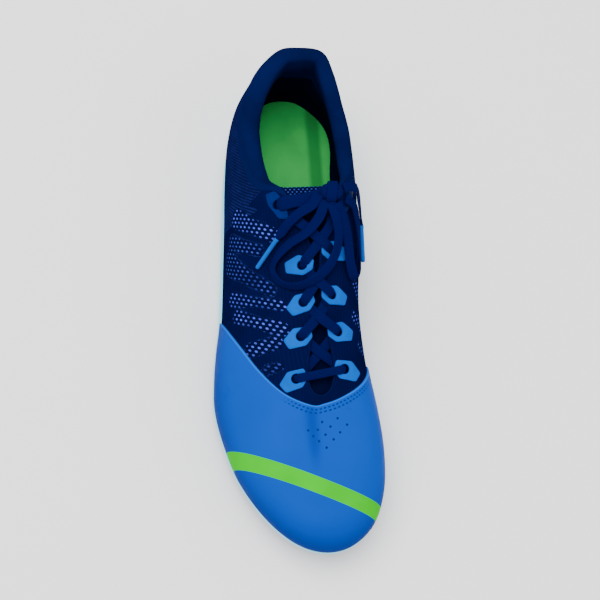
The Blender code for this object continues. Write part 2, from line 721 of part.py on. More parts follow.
def eyelet_cutter(name, radius, cutters):
    """All ten eyelet holes as one cutter, each along its wall's normal."""
    bm = bmesh.new()
    for row in EYELETS:
        for side in (-1, 1):
            x, y = eyelet_place(row, side)
            normal = top_normal(x, y)
            turn = normal.to_track_quat("Z", "Y").to_matrix().to_4x4()
            matrix = Matrix.Translation(on_top(x, y, 0.0)) @ turn
            bmesh.ops.create_cone(bm, cap_ends=True, segments=12, radius1=radius, radius2=radius,
                                  depth=HOLE_DEPTH, matrix=matrix)
    return as_cutter(name, finish_mesh(bm, name), cutters)


def lace_crossing(name, lower, higher, lifts, collection, cutters, trim=0.0):
    """Two lace runs that cross between two eyelet rows, joined into one solid."""
    pieces = []
    for side in (-1, 1):
        start = eyelet_place(lower, side)
        end = eyelet_place(higher, -side)
        run = (end[0] - start[0], end[1] - start[1])
        begin = (start[0] + run[0] * trim, start[1] + run[1] * trim)
        stop = (start[0] + run[0] * CROSSING_REACH, start[1] + run[1] * CROSSING_REACH)
        pieces.append(crossing_path(begin, stop, lifts))
    main = ribbon_object(name, pieces[0], collection)
    bm = bmesh.new()
    ribbon(bm, *pieces[1], LACE_WIDTH, LACE_THICK)
    other = as_cutter(name + "_second_run", finish_mesh(bm, name), cutters)
    add_boolean(main, other, "UNION")
    return main


def cord_points(route):
    """Turn a route over the last into points in space."""
    return [np.array(on_top(x * BALL_WIDTH, y * LENGTH, lift)) for x, y, lift in route]


def cord_object(name, route, collection, radius, colour="lace", count=18):
    """A free stretch of lace as a plain tube."""
    points = open_spline(cord_points(route), count)
    return tube_object(name, points, collection, radius, colour)


def tube_object(name, points, collection, radius, colour):
    """Tube along given points, with filled caps."""
    curve = bpy.data.curves.new(name, "CURVE")
    curve.dimensions = "3D"
    curve.bevel_depth = radius
    curve.bevel_resolution = 2
    curve.use_fill_caps = True
    spline = curve.splines.new("POLY")
    spline.points.add(len(points) - 1)
    for slot, point in zip(spline.points, points):
        slot.co = (*point, 1.0)
    return new_object(name, curve, colour, collection)


def end_with_aglet(name, route, collection):
    """A loose lace end and the stiff tip on it."""
    points = open_spline(cord_points(route), 13)
    cord = tube_object(name, points, collection, CORD_RADIUS, "lace")
    ahead = points[-1] - points[-2]
    ahead = ahead / np.linalg.norm(ahead)
    start = points[-1] + ahead * GAP
    stop = start + ahead * AGLET_LENGTH
    tip = tube_object(name.replace("lace_end", "aglet"), [start, (start + stop) / 2, stop], collection,
                      AGLET_RADIUS, "aglet")
    return cord, tip


def knot_object(collection):
    """Tight knot on the throat's top end."""
    bm = bmesh.new()
    bmesh.ops.create_icosphere(bm, subdivisions=2, radius=0.5)
    bmesh.ops.scale(bm, vec=KNOT_SIZE, verts=bm.verts)
    item = new_object("lace_knot", finish_mesh(bm, "lace_knot", 80), "lace", collection)
    x, y, lift = KNOT_PLACE
    item.location = on_top(x * BALL_WIDTH, y * LENGTH, lift)
    return item


def build_uppers(shoe, cutters):
    """Upper, toe overlay, patches and tongue."""
    holes = eyelet_cutter("eyelet_holes", EYELET_RADIUS, cutters)
    patch_holes = eyelet_cutter("patch_holes", PATCH_HOLE_RADIUS, cutters)
    upper = new_object("upper", upper_mesh(), "upper", shoe)
    add_boolean(upper, holes, "DIFFERENCE")
    shell = shell_mesh("toe_overlay", -8.0, 9.0, 0.0, GAP, GAP + OVERLAY_THICK)
    overlay = new_object("toe_overlay", shell, "overlay", shoe)
    throat_front = OPENING[0].lat_z * INSTEP_HEIGHT
    front = prism_mesh("vamp_front", vamp_corners(), -0.01, 0.12, VAMP_LEAN, throat_front)
    add_boolean(overlay, as_cutter("vamp_front", front, cutters), "INTERSECT")
    for row in EYELETS[:-1]:
        for side, word, span in ((-1, "lateral", (3.0, 10.0)), (1, "medial", (AROUND - 10.0, AROUND - 3.0))):
            name = f"patch_{word}_{row.name[-1]}"
            sheet = shell_mesh(name, *span, 0.5, GAP, GAP + PATCH_THICK)
            patch = new_object(name, sheet, "overlay", shoe)
            outline = prism_mesh(name + "_outline", patch_corners(row, side), 0.02, 0.12)
            add_boolean(patch, as_cutter(name + "_outline", outline, cutters), "INTERSECT")
            add_boolean(patch, patch_holes, "DIFFERENCE")
    new_object("tongue", tongue_mesh(), "tongue", shoe)


def build_sole(shoe, cutters):
    """Insole, midsole, heel outsole, spike plate with its bosses, and the pins."""
    new_object("insole", insole_mesh(), "insole", shoe)
    new_object("midsole", midsole_mesh(), "midsole", shoe)
    new_object("heel_outsole", outsole_mesh(), "outsole", shoe)
    plate = new_object("spike_plate", plate_mesh(), "plate", shoe)
    shared_pin = pin_mesh()
    for name, share_x, share_y in PINS:
        x, y = share_x * BALL_WIDTH, share_y * LENGTH
        step = BOSS_RADIUS
        slope = (plate_bottom(y + step) - plate_bottom(y - step)) / (2 * step)
        down = Vector((0.0, slope, -1.0)).normalized()
        face = Vector((x, y, plate_bottom(y)))
        depth = BOSS_HEIGHT + PLATE_THICK * BOSS_SINK
        boss = as_cutter("boss_" + name, disc_mesh("boss_" + name, BOSS_RADIUS, depth), cutters)
        boss.location = face + down * (BOSS_HEIGHT - depth / 2)
        boss.rotation_euler.x = math.atan(slope)
        add_boolean(plate, boss, "UNION")
        pin = new_object("pin_" + name, shared_pin.copy(), "pin", shoe)
        pin.location = face + down * (BOSS_HEIGHT + GAP + PIN_LENGTH)
        pin.rotation_euler.x = math.atan(slope)


def build_laces(shoe, cutters):
    """Lace bar, crossings, leads, knot, loops and ends."""
    row_4, row_3, row_2, row_1, row_top = EYELETS
    bar = crossing_path(eyelet_place(row_4, -1), eyelet_place(row_4, 1), (LACE_OVER,) * 2)
    ribbon_object("lace_bar_4", bar, shoe)
    lace_crossing("lace_cross_43", row_4, row_3, (LACE_UNDER,) * 2, shoe, cutters, CROSSING_TRIM)
    rising = (LACE_OVER, LACE_OVER, LACE_OVER - GAP)
    for low, high in ((row_3, row_2), (row_2, row_1), (row_1, row_top)):
        lace_crossing(f"lace_cross_{low.name[4:]}{high.name[4]}", low, high, rising, shoe, cutters)
    knot = (KNOT_PLACE[0] * BALL_WIDTH, KNOT_PLACE[1] * LENGTH)
    side_x, side_y = eyelet_place(row_top, -1)
    lead_end = (knot[0] - LEAD_TUCK * KNOT_SIZE[0] - 2 * GAP, knot[1])
    ribbon_object("lace_lead", crossing_path((side_x, side_y), lead_end, (LACE_OVER, LACE_OVER + GAP)), shoe)
    knot_object(shoe)
    cord_object("lace_loop_lateral", LOOP_LATERAL, shoe, CORD_RADIUS)
    cord_object("lace_loop_medial", LOOP_MEDIAL, shoe, CORD_RADIUS)
    end_with_aglet("lace_end_lateral", END_LATERAL, shoe)
    end_with_aglet("lace_end_medial", END_MEDIAL, shoe)


def clear_scene():
    """Remove the scene's objects."""
    for item in list(bpy.data.objects):
        bpy.data.objects.remove(item, do_unlink=True)


def main():
    """Build the shoe."""
    clear_scene()
    shoe = bpy.data.collections.new("track_spike_shoe")
    cutters = bpy.data.collections.new("cutters")
    for collection in (shoe, cutters):
        bpy.context.scene.collection.children.link(collection)
    build_uppers(shoe, cutters)
    build_sole(shoe, cutters)
    build_laces(shoe, cutters)


main()
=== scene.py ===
"""Looks of the track spike shoe: fine upper, film overlay, flat woven lace, foam, plate and rubber.

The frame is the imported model's: metres, +Z up, heel towards +Y, outer (lateral) side towards -X.
The tables and the upper's function are the ones that shape the solids, read here on a finer grid.
"""
import math
from collections import namedtuple

import bmesh
import bpy
import numpy as np
from mathutils import Matrix, Vector
from mathutils.bvhtree import BVHTree


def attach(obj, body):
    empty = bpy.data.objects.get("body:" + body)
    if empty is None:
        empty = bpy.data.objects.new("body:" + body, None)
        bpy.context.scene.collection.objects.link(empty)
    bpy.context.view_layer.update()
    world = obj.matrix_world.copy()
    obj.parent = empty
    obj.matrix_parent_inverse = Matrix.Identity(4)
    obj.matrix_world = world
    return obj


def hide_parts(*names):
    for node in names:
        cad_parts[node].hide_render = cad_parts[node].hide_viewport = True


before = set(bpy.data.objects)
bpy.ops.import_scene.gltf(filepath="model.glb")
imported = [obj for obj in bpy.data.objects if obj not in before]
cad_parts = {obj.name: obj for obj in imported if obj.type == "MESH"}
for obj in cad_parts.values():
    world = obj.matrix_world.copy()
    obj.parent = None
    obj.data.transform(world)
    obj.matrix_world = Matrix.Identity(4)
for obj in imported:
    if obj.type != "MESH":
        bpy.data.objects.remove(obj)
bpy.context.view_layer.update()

# Main sizes, as in the solids
LENGTH = 0.283
BALL_WIDTH = 0.095
INSTEP_HEIGHT = 0.082
HEEL_HEIGHT = 0.082
GAP = 0.0003
WALL = 0.0018
COLLAR_PAD = 0.0050
OVERLAY_THICK = 0.0008
PATCH_THICK = 0.0006
TONGUE_THICK = 0.0026
TONGUE_FRONT_GAP = 0.0005
TONGUE_DROP = 0.0026
INSOLE_THICK = 0.0030
RIM_ROUND = 0.35
BALL_SEAT = 0.0145
TOE_SPRING = 0.0130
HEEL_DROP = 0.0032
FOAM_FORE = 0.0046
PLATE_THICK = 0.0022
PAD_THICK = 0.0032
PAD_BEVEL = 0.0045
SOLE_MARGIN = 0.0012
SOLE_BULGE = 0.0006
PLATE_INSET = 0.0012
PAD_INSET = 0.0020
PLATE_END_ROW = 8.5
PAD_START_ROW = 11.0
TOE_SPRING_START, TOE_SPRING_RUN = -0.24, 0.26
HEEL_DROP_START, HEEL_DROP_RUN = -0.10, 0.50
ARCH_START, ARCH_RUN = 0.04, 0.21
PAD_BEVEL_START, PAD_BEVEL_RUN = 0.42, 0.08
TONGUE_HALF, TONGUE_FLARE, TONGUE_END_FLARE = 0.11, 0.07, 0.02
EYELET_RADIUS = 0.0024
PATCH_HOLE_RADIUS = 0.0027
LACE_THICK = 0.0012
CORD_WIDTH = 0.0056
AGLET_RADIUS = 0.0012
AGLET_LENGTH = 0.0200
KNOT_SIZE = (0.0130, 0.0110, 0.0072)

Eyelet = namedtuple("Eyelet", "name lat_x lat_y med_x med_y lat_turn med_turn")

# Stations round the shoe: outer side from toe to heel, then inner side back to the toe. A row gives x and y
# of the wall's lower edge, x, y and z of its upper edge, and the wall's rise, swell, reach and dip. x, swell
# and reach are in ball widths, y in shoe lengths, z in instep or heel heights, rise and dip in wall heights.
STATIONS = np.array((
    (0.085, -0.492, 0.095, -0.207, 0.695, 0.62, 0.02, 0.5, 0.14),  # toe tip
    (-0.075, -0.47, 0.08, -0.2062, 0.695, 0.62, 0.02, 0.5, 0.14),  # toe front
    (-0.23, -0.418, 0.064, -0.204, 0.698, 0.6, 0.02, 0.46, 0.14),  # toe corner
    (-0.362, -0.345, 0.046, -0.199, 0.702, 0.56, 0.02, 0.4, 0.14),  # toe side
    (-0.436, -0.27, 0.028, -0.187, 0.713, 0.52, 0.02, 0.32, 0.13),  # fore ball
    (-0.477, -0.2, 0.019, -0.157, 0.747, 0.5, 0.02, 0.26, 0.12),  # ball
    (-0.472, -0.142, 0.045, -0.092, 0.823, 0.48, 0.02, 0.24, 0.12),  # stay 4
    (-0.45, -0.082, 0.07, -0.012, 0.902, 0.46, 0.022, 0.23, 0.12),  # stay 3
    (-0.418, -0.02, 0.066, 0.062, 0.951, 0.45, 0.024, 0.22, 0.12),  # stay 2
    (-0.4, 0.043, -0.01, 0.138, 0.995, 0.45, 0.026, 0.2, 0.13),  # stay 1
    (-0.385, 0.108, -0.09, 0.186, 0.985, 0.46, 0.028, 0.16, 0.17),  # stay top
    (-0.368, 0.175, -0.205, 0.217, 0.88, 0.46, 0.032, 0.1, 0.3),  # quarter
    (-0.345, 0.265, -0.268, 0.287, 0.795, 0.42, 0.04, 0.06, 0.36),  # ankle
    (-0.308, 0.347, -0.273, 0.358, 0.84, 0.4, 0.048, 0.05, 0.36),  # heel side
    (-0.24, 0.426, -0.198, 0.429, 0.942, 0.4, 0.05, 0.02, 0.36),  # heel quarter
    (-0.105, 0.481, -0.053, 0.477, 0.992, 0.4, 0.045, -0.01, 0.36),  # heel corner
    (0.08, 0.495, 0.08, 0.484, 1, 0.4, 0.036, -0.03, 0.36),  # heel rear
    (0.232, 0.478, 0.224, 0.4755, 0.992, 0.4, 0.045, -0.01, 0.36),  # heel corner
    (0.348, 0.429, 0.29, 0.437, 0.942, 0.4, 0.055, 0.02, 0.36),  # heel quarter
    (0.392, 0.361, 0.347, 0.368, 0.85, 0.4, 0.06, 0.06, 0.36),  # heel side
    (0.372, 0.29, 0.373, 0.304, 0.825, 0.4, 0.085, 0.07, 0.36),  # ankle
    (0.332, 0.212, 0.347, 0.233, 0.895, 0.4, 0.15, 0.13, 0.32),  # quarter
    (0.3, 0.137, 0.275, 0.19, 0.99, 0.4, 0.2, 0.24, 0.22),  # stay top
    (0.3, 0.078, 0.19, 0.138, 0.997, 0.4, 0.205, 0.29, 0.15),  # stay 1
    (0.321, 0.01, 0.126, 0.06, 0.951, 0.44, 0.17, 0.25, 0.12),  # stay 2
    (0.363, -0.065, 0.118, -0.014, 0.902, 0.5, 0.11, 0.2, 0.09),  # stay 3
    (0.416, -0.15, 0.147, -0.092, 0.823, 0.56, 0.05, 0.18, 0.08),  # stay 4
    (0.468, -0.235, 0.176, -0.152, 0.752, 0.62, 0.02, 0.2, 0.08),  # ball
    (0.482, -0.314, 0.165, -0.184, 0.715, 0.62, 0.02, 0.3, 0.1),  # fore ball
    (0.457, -0.388, 0.146, -0.198, 0.702, 0.62, 0.02, 0.4, 0.11),  # toe side
    (0.379, -0.448, 0.127, -0.2035, 0.698, 0.62, 0.02, 0.46, 0.12),  # toe corner
    (0.24, -0.485, 0.111, -0.2062, 0.695, 0.62, 0.02, 0.5, 0.13),  # toe front
))

# Lace rows: places as shares, and each patch's turn in degrees
EYELETS = (
    Eyelet("row_4", -0.046, -0.1725, 0.235, -0.1590, 8, 4),
    Eyelet("row_3", -0.010, -0.0950, 0.203, -0.0890, 0, -16),
    Eyelet("row_2", 0.012, -0.0320, 0.175, -0.0200, 6, -10),
    Eyelet("row_1", 0.015, 0.0380, 0.187, 0.0640, -24, -14),
    Eyelet("row_top", -0.104, 0.1585, 0.293, 0.1680, 0, 0),
)

# Corners of a patch round its eyelet on the lateral side: angle in degrees, radius in metres
PATCH_CORNERS = ((42, 0.0066), (131, 0.0060), (187, 0.0094), (224, 0.0090), (297, 0.0058), (352, 0.0062))

# Rear edge of the toe overlay in plan, from lateral to medial: x in ball widths, y in shoe lengths
VAMP_EDGE = (
    (-0.530, -0.020), (-0.455, -0.050), (-0.342, -0.108), (-0.241, -0.158), (-0.115, -0.201),
    (0.033, -0.2255), (0.110, -0.2240), (0.217, -0.2120), (0.359, -0.1850), (0.455, -0.150),
    (0.530, -0.100),
)
VAMP_LEAN = 0.35

# Corners of the tab round a top eyelet, whose darker blue is painted shade, metres from the hole, outwards
# and rearwards
TAB_CORNERS = (
    (0.0058, 0.0074), (0.0012, 0.0076), (-0.0042, -0.0006), (-0.0052, -0.0090), (-0.0002, -0.0078),
    (0.0048, 0.0008),
)

# Cord routes: x in ball widths, y in shoe lengths, height of the cord's middle over the last's top in metres
LOOP_LATERAL = (
    (0.156, 0.1555, 0.0046), (0.118, 0.1240, 0.0050), (0.044, 0.0957, 0.0050), (-0.036, 0.0813, 0.0038),
    (-0.107, 0.0625, 0.0026), (-0.137, 0.0396, 0.0024), (-0.106, 0.0133, 0.0024), (-0.033, -0.0016, 0.0032),
    (0.060, 0.0023, 0.0050), (0.129, 0.0249, 0.0054), (0.185, 0.0593, 0.0052), (0.209, 0.0944, 0.0050),
    (0.198, 0.1240, 0.0052), (0.187, 0.1507, 0.0046),
)
LOOP_MEDIAL = (
    (0.256, 0.1625, 0.0054), (0.312, 0.153, 0.0036), (0.346, 0.122, 0.0026), (0.354, 0.078, 0.0024),
    (0.348, 0.042, 0.0026), (0.326, 0.022, 0.0028), (0.298, 0.022, 0.0032), (0.276, 0.048, 0.0036),
    (0.262, 0.090, 0.0042), (0.240, 0.124, 0.0048), (0.214, 0.1515, 0.0048),
)
END_LATERAL = (
    (0.1260, 0.1657, 0.0052), (0.076, 0.1450, 0.0054), (0.012, 0.1325, 0.0052), (-0.036, 0.1194, 0.0044),
    (-0.074, 0.1070, 0.0030), (-0.114, 0.0918, 0.0022),
)
END_MEDIAL = (
    (0.250, 0.1785, 0.0064), (0.304, 0.188, 0.0056), (0.346, 0.188, 0.0036), (0.382, 0.172, 0.0023),
    (0.400, 0.154, 0.0020), (0.404, 0.136, 0.0019),
)
KNOT_PLACE = (0.200, 0.170, 0.0044)

# Open mesh between the fused films, as tapered strips up the wall: low point, high point and half width
# at each, in millimetres, and glow from 0 to 1
MESH_BANDS = (
    (-30, 46.5, 51, -12.5, 29.2, 72.6, 5.8, 4.2, 1),
    (-33, 34.5, 44, -20.5, 23.5, 64, 5, 3.4, 0.5),
    (-34.5, 24, 39.5, -15, 0, 63.5, 7.6, 3.2, 0.44),
    (-34.2, 2, 40, -9.5, -9.2, 66, 4.6, 2.8, 1),
    (-33, -8.5, 43, -10, -22.2, 63.5, 3.8, 4.2, 1),
    (-27, -30, 50.2, -13.3, -28.4, 60.2, 4.2, 3.6, 0.95),
    (-19.5, -42.5, 54, -12.2, -41.6, 58, 3, 2.6, 0.35),
    (34.5, 26, 42, 30, 25, 64, 4.6, 3.6, 0.45),
    (35, -1, 50, 30, 8, 64, 3.8, 2.4, 0.9),
    (36.5, -19, 43, 31, -15, 57.5, 4.6, 3, 1),
    (39, -34, 38, 33.5, -31, 52, 3, 2.6, 0.6),
)

# Vent holes over the toes: x and y in millimetres
VENTS = (
    (16.9, -71.4), (22, -75), (8.3, -73), (12.7, -75.7), (17.8, -79), (5.7, -77), (0.5, -77),
    (9.7, -79.9), (3.1, -80.2), (14, -82.6), (6, -83.1), (9.9, -86.8),
)
VENT_RADIUS = 0.00062

# How far a row of mesh openings drops forwards for each metre up the wall
MESH_ROW_LEAN = 0.33

# Straight stripe over the forefoot: a point on its middle, its direction in plan, and half its width
STRIPE_MIDDLE = (0.0040, -0.1060)
STRIPE_TURN = math.radians(-24.0)
STRIPE_HALF = 0.0042

AROUND = len(STATIONS)
LAST_ROW = AROUND // 2
THROAT_ROW = 10
THROAT_END = STATIONS[THROAT_ROW][3] * LENGTH - 0.0012

# Steps for the directions along and up the wall, in stations and in shares of its height
STATION_STEP, LEVEL_STEP = 0.02, 0.004


# ---- Curves and the upper's own function, on whole arrays ----

def smooth(value):
    """Ease values between 0 and 1."""
    value = np.clip(value, 0.0, 1.0)
    return value * value * (3.0 - 2.0 * value)


def unit(vectors):
    """Scale vectors to length 1."""
    return vectors / np.maximum(np.linalg.norm(vectors, axis=-1, keepdims=True), 1e-12)


def ring(count):
    """Return angles at even shares of a turn."""
    return np.linspace(0.0, 2 * math.pi, count, endpoint=False)


def catmull(p0, p1, p2, p3, t):
    """Read a Catmull-Rom curve at t between p1 and p2."""
    return 0.5 * (2 * p1 + (p2 - p0) * t + (2 * p0 - 5 * p1 + 4 * p2 - p3) * t * t
                  + (3 * p1 - p0 - 3 * p2 + p3) * t * t * t)


def arc_lengths(points, axis=0):
    """Return running lengths along one axis of a grid of points."""
    steps = np.linalg.norm(np.diff(points, axis=axis), axis=-1)
    zero = np.zeros_like(np.take(steps, [0], axis=axis))
    return np.concatenate((zero, np.cumsum(steps, axis=axis)), axis=axis)


def read_rows(wanted, known, rows):
    """Read rows of numbers, given at known places, at the wanted places."""
    return np.stack([np.interp(wanted, known, column) for column in np.transpose(rows)], -1)


def open_spline(points, count, steps=16):
    """Read a smooth open curve through points, at count even shares of its length."""
    points = np.array(points, float)
    padded = np.concatenate(([2 * points[0] - points[1]], points, [2 * points[-1] - points[-2]]))
    t = (np.arange(steps) / steps)[:, None]
    fine = np.concatenate([catmull(*padded[i:i + 4], t) for i in range(len(points) - 1)] + [points[-1:]])
    lengths = arc_lengths(fine)
    return read_rows(np.linspace(0.0, lengths[-1], count), lengths, fine)


def at_station(k):
    """Read the stations at k, which goes round the shoe."""
    k = np.asarray(k, float)
    i = np.floor(k).astype(int)
    return catmull(*(STATIONS[(i + j) % AROUND] for j in (-1, 0, 1, 2)), (k - i)[..., None])


def row_of(k):
    """Return how far station k lies from the toe, in table rows."""
    k = np.asarray(k, float) % AROUND
    return np.minimum(k, AROUND - k)


def seat_height(y):
    """Height of the sole's top."""
    share = np.asarray(y, float) / LENGTH
    toe = np.maximum(0.0, (TOE_SPRING_START - share) / TOE_SPRING_RUN)
    heel = smooth((share - HEEL_DROP_START) / HEEL_DROP_RUN)
    return BALL_SEAT + TOE_SPRING * toe ** 1.7 + HEEL_DROP * heel


def pad_bottom(y):
    """Height of the heel pad's underside."""
    return PAD_BEVEL * np.maximum(0.0, (np.asarray(y) / LENGTH - PAD_BEVEL_START) / PAD_BEVEL_RUN) ** 1.5


def foam_bottom(y):
    """Height of the midsole's underside."""
    front = seat_height(y) - FOAM_FORE
    rear = pad_bottom(y) + PAD_THICK + GAP
    return front + (rear - front) * smooth((np.asarray(y) / LENGTH - ARCH_START) / ARCH_RUN)


def outline_points(k, grow=0.0):
    """Return plan points on the lower edge at stations k, moved outwards by grow, and the way out."""
    size = (BALL_WIDTH, LENGTH)
    ahead = (at_station(np.asarray(k) + STATION_STEP) - at_station(np.asarray(k) - STATION_STEP))[..., :2]
    tangent = unit(ahead * size)
    outward = np.stack((-tangent[..., 1], tangent[..., 0]), -1)
    return at_station(k)[..., :2] * size + outward * grow, outward


def wall_points(k, v):
    """Return points of the upper's outer face: k goes round the shoe, v from the sole to the opening."""
    k, v = np.broadcast_arrays(np.asarray(k, float), np.asarray(v, float))
    row = at_station(k)
    foot, outward = outline_points(k)
    base = np.concatenate((foot, (seat_height(foot[..., 1]) + GAP)[..., None]), -1)
    heel_part = smooth((row_of(k) - 9.5) / 2.5)
    height = row[..., 4] * (INSTEP_HEIGHT + (HEEL_HEIGHT - INSTEP_HEIGHT) * heel_part)
    top = np.stack((row[..., 2] * BALL_WIDTH, row[..., 3] * LENGTH, height), -1)
    rise = top[..., 2] - base[..., 2]
    away = unit(base[..., :2] - top[..., :2] + outward * 0.006)
    swell = (row[..., 6] * BALL_WIDTH)[..., None]
    reach = (row[..., 7] * BALL_WIDTH)[..., None]
    low = base + np.concatenate((outward * swell, (row[..., 5] * rise)[..., None]), -1)
    high = top + np.concatenate((away * reach, (-row[..., 8] * rise)[..., None]), -1)
    v = v[..., None]
    w = 1.0 - v
    return base * w ** 3 + low * (3 * w * w * v) + high * (3 * w * v * v) + top * v ** 3


def wall_frames(k, v):
    """Return points of the outer face with outward normals and upward tangents."""
    along = wall_points(k + STATION_STEP, v) - wall_points(k - STATION_STEP, v)
    up = wall_points(k, np.minimum(v + LEVEL_STEP, 1.0)) - wall_points(k, np.maximum(v - LEVEL_STEP, 0.0))
    return wall_points(k, v), unit(np.cross(up, along)), unit(up)


def lifted(k, v, lift):
    """Return points of the outer face moved along their normals, never below the sole's top."""
    points, normals, _ = wall_frames(k, v)
    moved = points + normals * np.asarray(lift)[..., None]
    moved[..., 2] = np.maximum(moved[..., 2], seat_height(moved[..., 1]) + GAP)
    return moved


def wall_thickness(k, v):
    """Wall of the upper, padded towards the collar."""
    return WALL + COLLAR_PAD * smooth((row_of(k) - 9.6) / 1.8) * smooth((v - 0.45) / 0.45)


def grid_faces(rows, columns, closed_rows=False, closed_columns=False, first=0):
    """Return quads over a grid of rows times columns vertices."""
    faces = []
    for i in range(rows if closed_rows else rows - 1):
        j = (i + 1) % rows
        for m in range(columns if closed_columns else columns - 1):
            n = (m + 1) % columns
            faces.append(tuple(first + a * columns + b for a, b in ((i, m), (j, m), (j, n), (i, n))))
    return faces


def last_tree():
    """Return the outer face with its throat bridged across, to read heights from."""
    columns, levels = 12, 40
    count = AROUND * columns
    k = np.arange(count) / columns
    points = wall_points(k[:, None], np.linspace(0.0, 1.0, levels)[None, :])
    faces = grid_faces(count, levels, closed_rows=True)
    top = [i * levels + levels - 1 for i in range(count)]
    faces += [(top[i], top[i + 1], top[-i - 1], top[-i]) for i in range(1, THROAT_ROW * columns)]
    faces.append((top[0], top[1], top[-1]))
    return BVHTree.FromPolygons([Vector(c) for c in points.reshape(-1, 3).tolist()], faces)


LAST = last_tree()
RAY_FROM = 0.3


def top_height(x, y):
    """Height of the last's top over x and y, carried straight on past the throat's end."""
    if y > THROAT_END:
        return 2.0 * top_height(x, THROAT_END) - top_height(x, 2.0 * THROAT_END - y)
    hit = LAST.ray_cast(Vector((x, y, RAY_FROM)), Vector((0.0, 0.0, -1.0)))[0]
    return hit.z if hit else 0.0


def top_normal(x, y):
    """Normal of the last's top over x and y, taken over a few millimetres."""
    step = 0.0025
    slope_x = (top_height(x + step, y) - top_height(x - step, y)) / (2 * step)
    slope_y = (top_height(x, y + step) - top_height(x, y - step)) / (2 * step)
    return Vector((-slope_x, -slope_y, 1.0)).normalized()


def on_top(x, y, lift):
    """Return a point over the last's top, lifted along its normal."""
    return Vector((x, y, top_height(x, y))) + top_normal(x, y) * lift


SIDES = ((-1, "lateral"), (1, "medial"))


def eyelet_place(row, side):
    """Return x and y of an eyelet: side is -1 for lateral and 1 for medial."""
    if side < 0:
        return row.lat_x * BALL_WIDTH, row.lat_y * LENGTH
    return row.med_x * BALL_WIDTH, row.med_y * LENGTH


# ---- Meshes ----

def mesh_object(name, points, faces, materials, node=None, uvs=None, attributes=None, picks=None):
    """Add a smooth piece that rides on the shoe: uvs and attributes for each vertex, picks for each face."""
    mesh = bpy.data.meshes.new(name)
    mesh.from_pydata(np.reshape(points, (-1, 3)).tolist(), [], faces)
    for material in materials:
        mesh.materials.append(material)
    if picks is not None:
        mesh.polygons.foreach_set("material_index", np.asarray(picks, np.int32))
    if uvs is not None:
        layer = mesh.uv_layers.new(name="UVMap")
        index = np.zeros(len(mesh.loops), np.int32)
        mesh.loops.foreach_get("vertex_index", index)
        layer.data.foreach_set("uv", np.reshape(uvs, (-1, 2)).astype(np.float32)[index].ravel())
    for key, values in (attributes or {}).items():
        attribute = mesh.attributes.new(key, "FLOAT", "POINT")
        attribute.data.foreach_set("value", np.asarray(values, np.float32).ravel())
    mesh.shade_smooth()
    mesh.validate()
    item = bpy.data.objects.new(name, mesh)
    bpy.context.scene.collection.objects.link(item)
    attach(item, "root")
    if node:
        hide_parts(node)
    return item


def weld(item, distance=1e-6):
    """Join vertices that lie on each other, and turn the faces outwards."""
    bm = bmesh.new()
    bm.from_mesh(item.data)
    bmesh.ops.remove_doubles(bm, verts=bm.verts, dist=distance)
    bmesh.ops.recalc_face_normals(bm, faces=bm.faces)
    bm.to_mesh(item.data)
    bm.free()


def extend(values, count, fill=None):
    """Lengthen each row of a grid by count values: by its last one, or by a given one."""
    last = values[:, -1:] if fill is None else np.full_like(values[:, -1:], fill)
    return np.concatenate((values, np.repeat(last, count, axis=1)), 1)


# ---- Materials ----

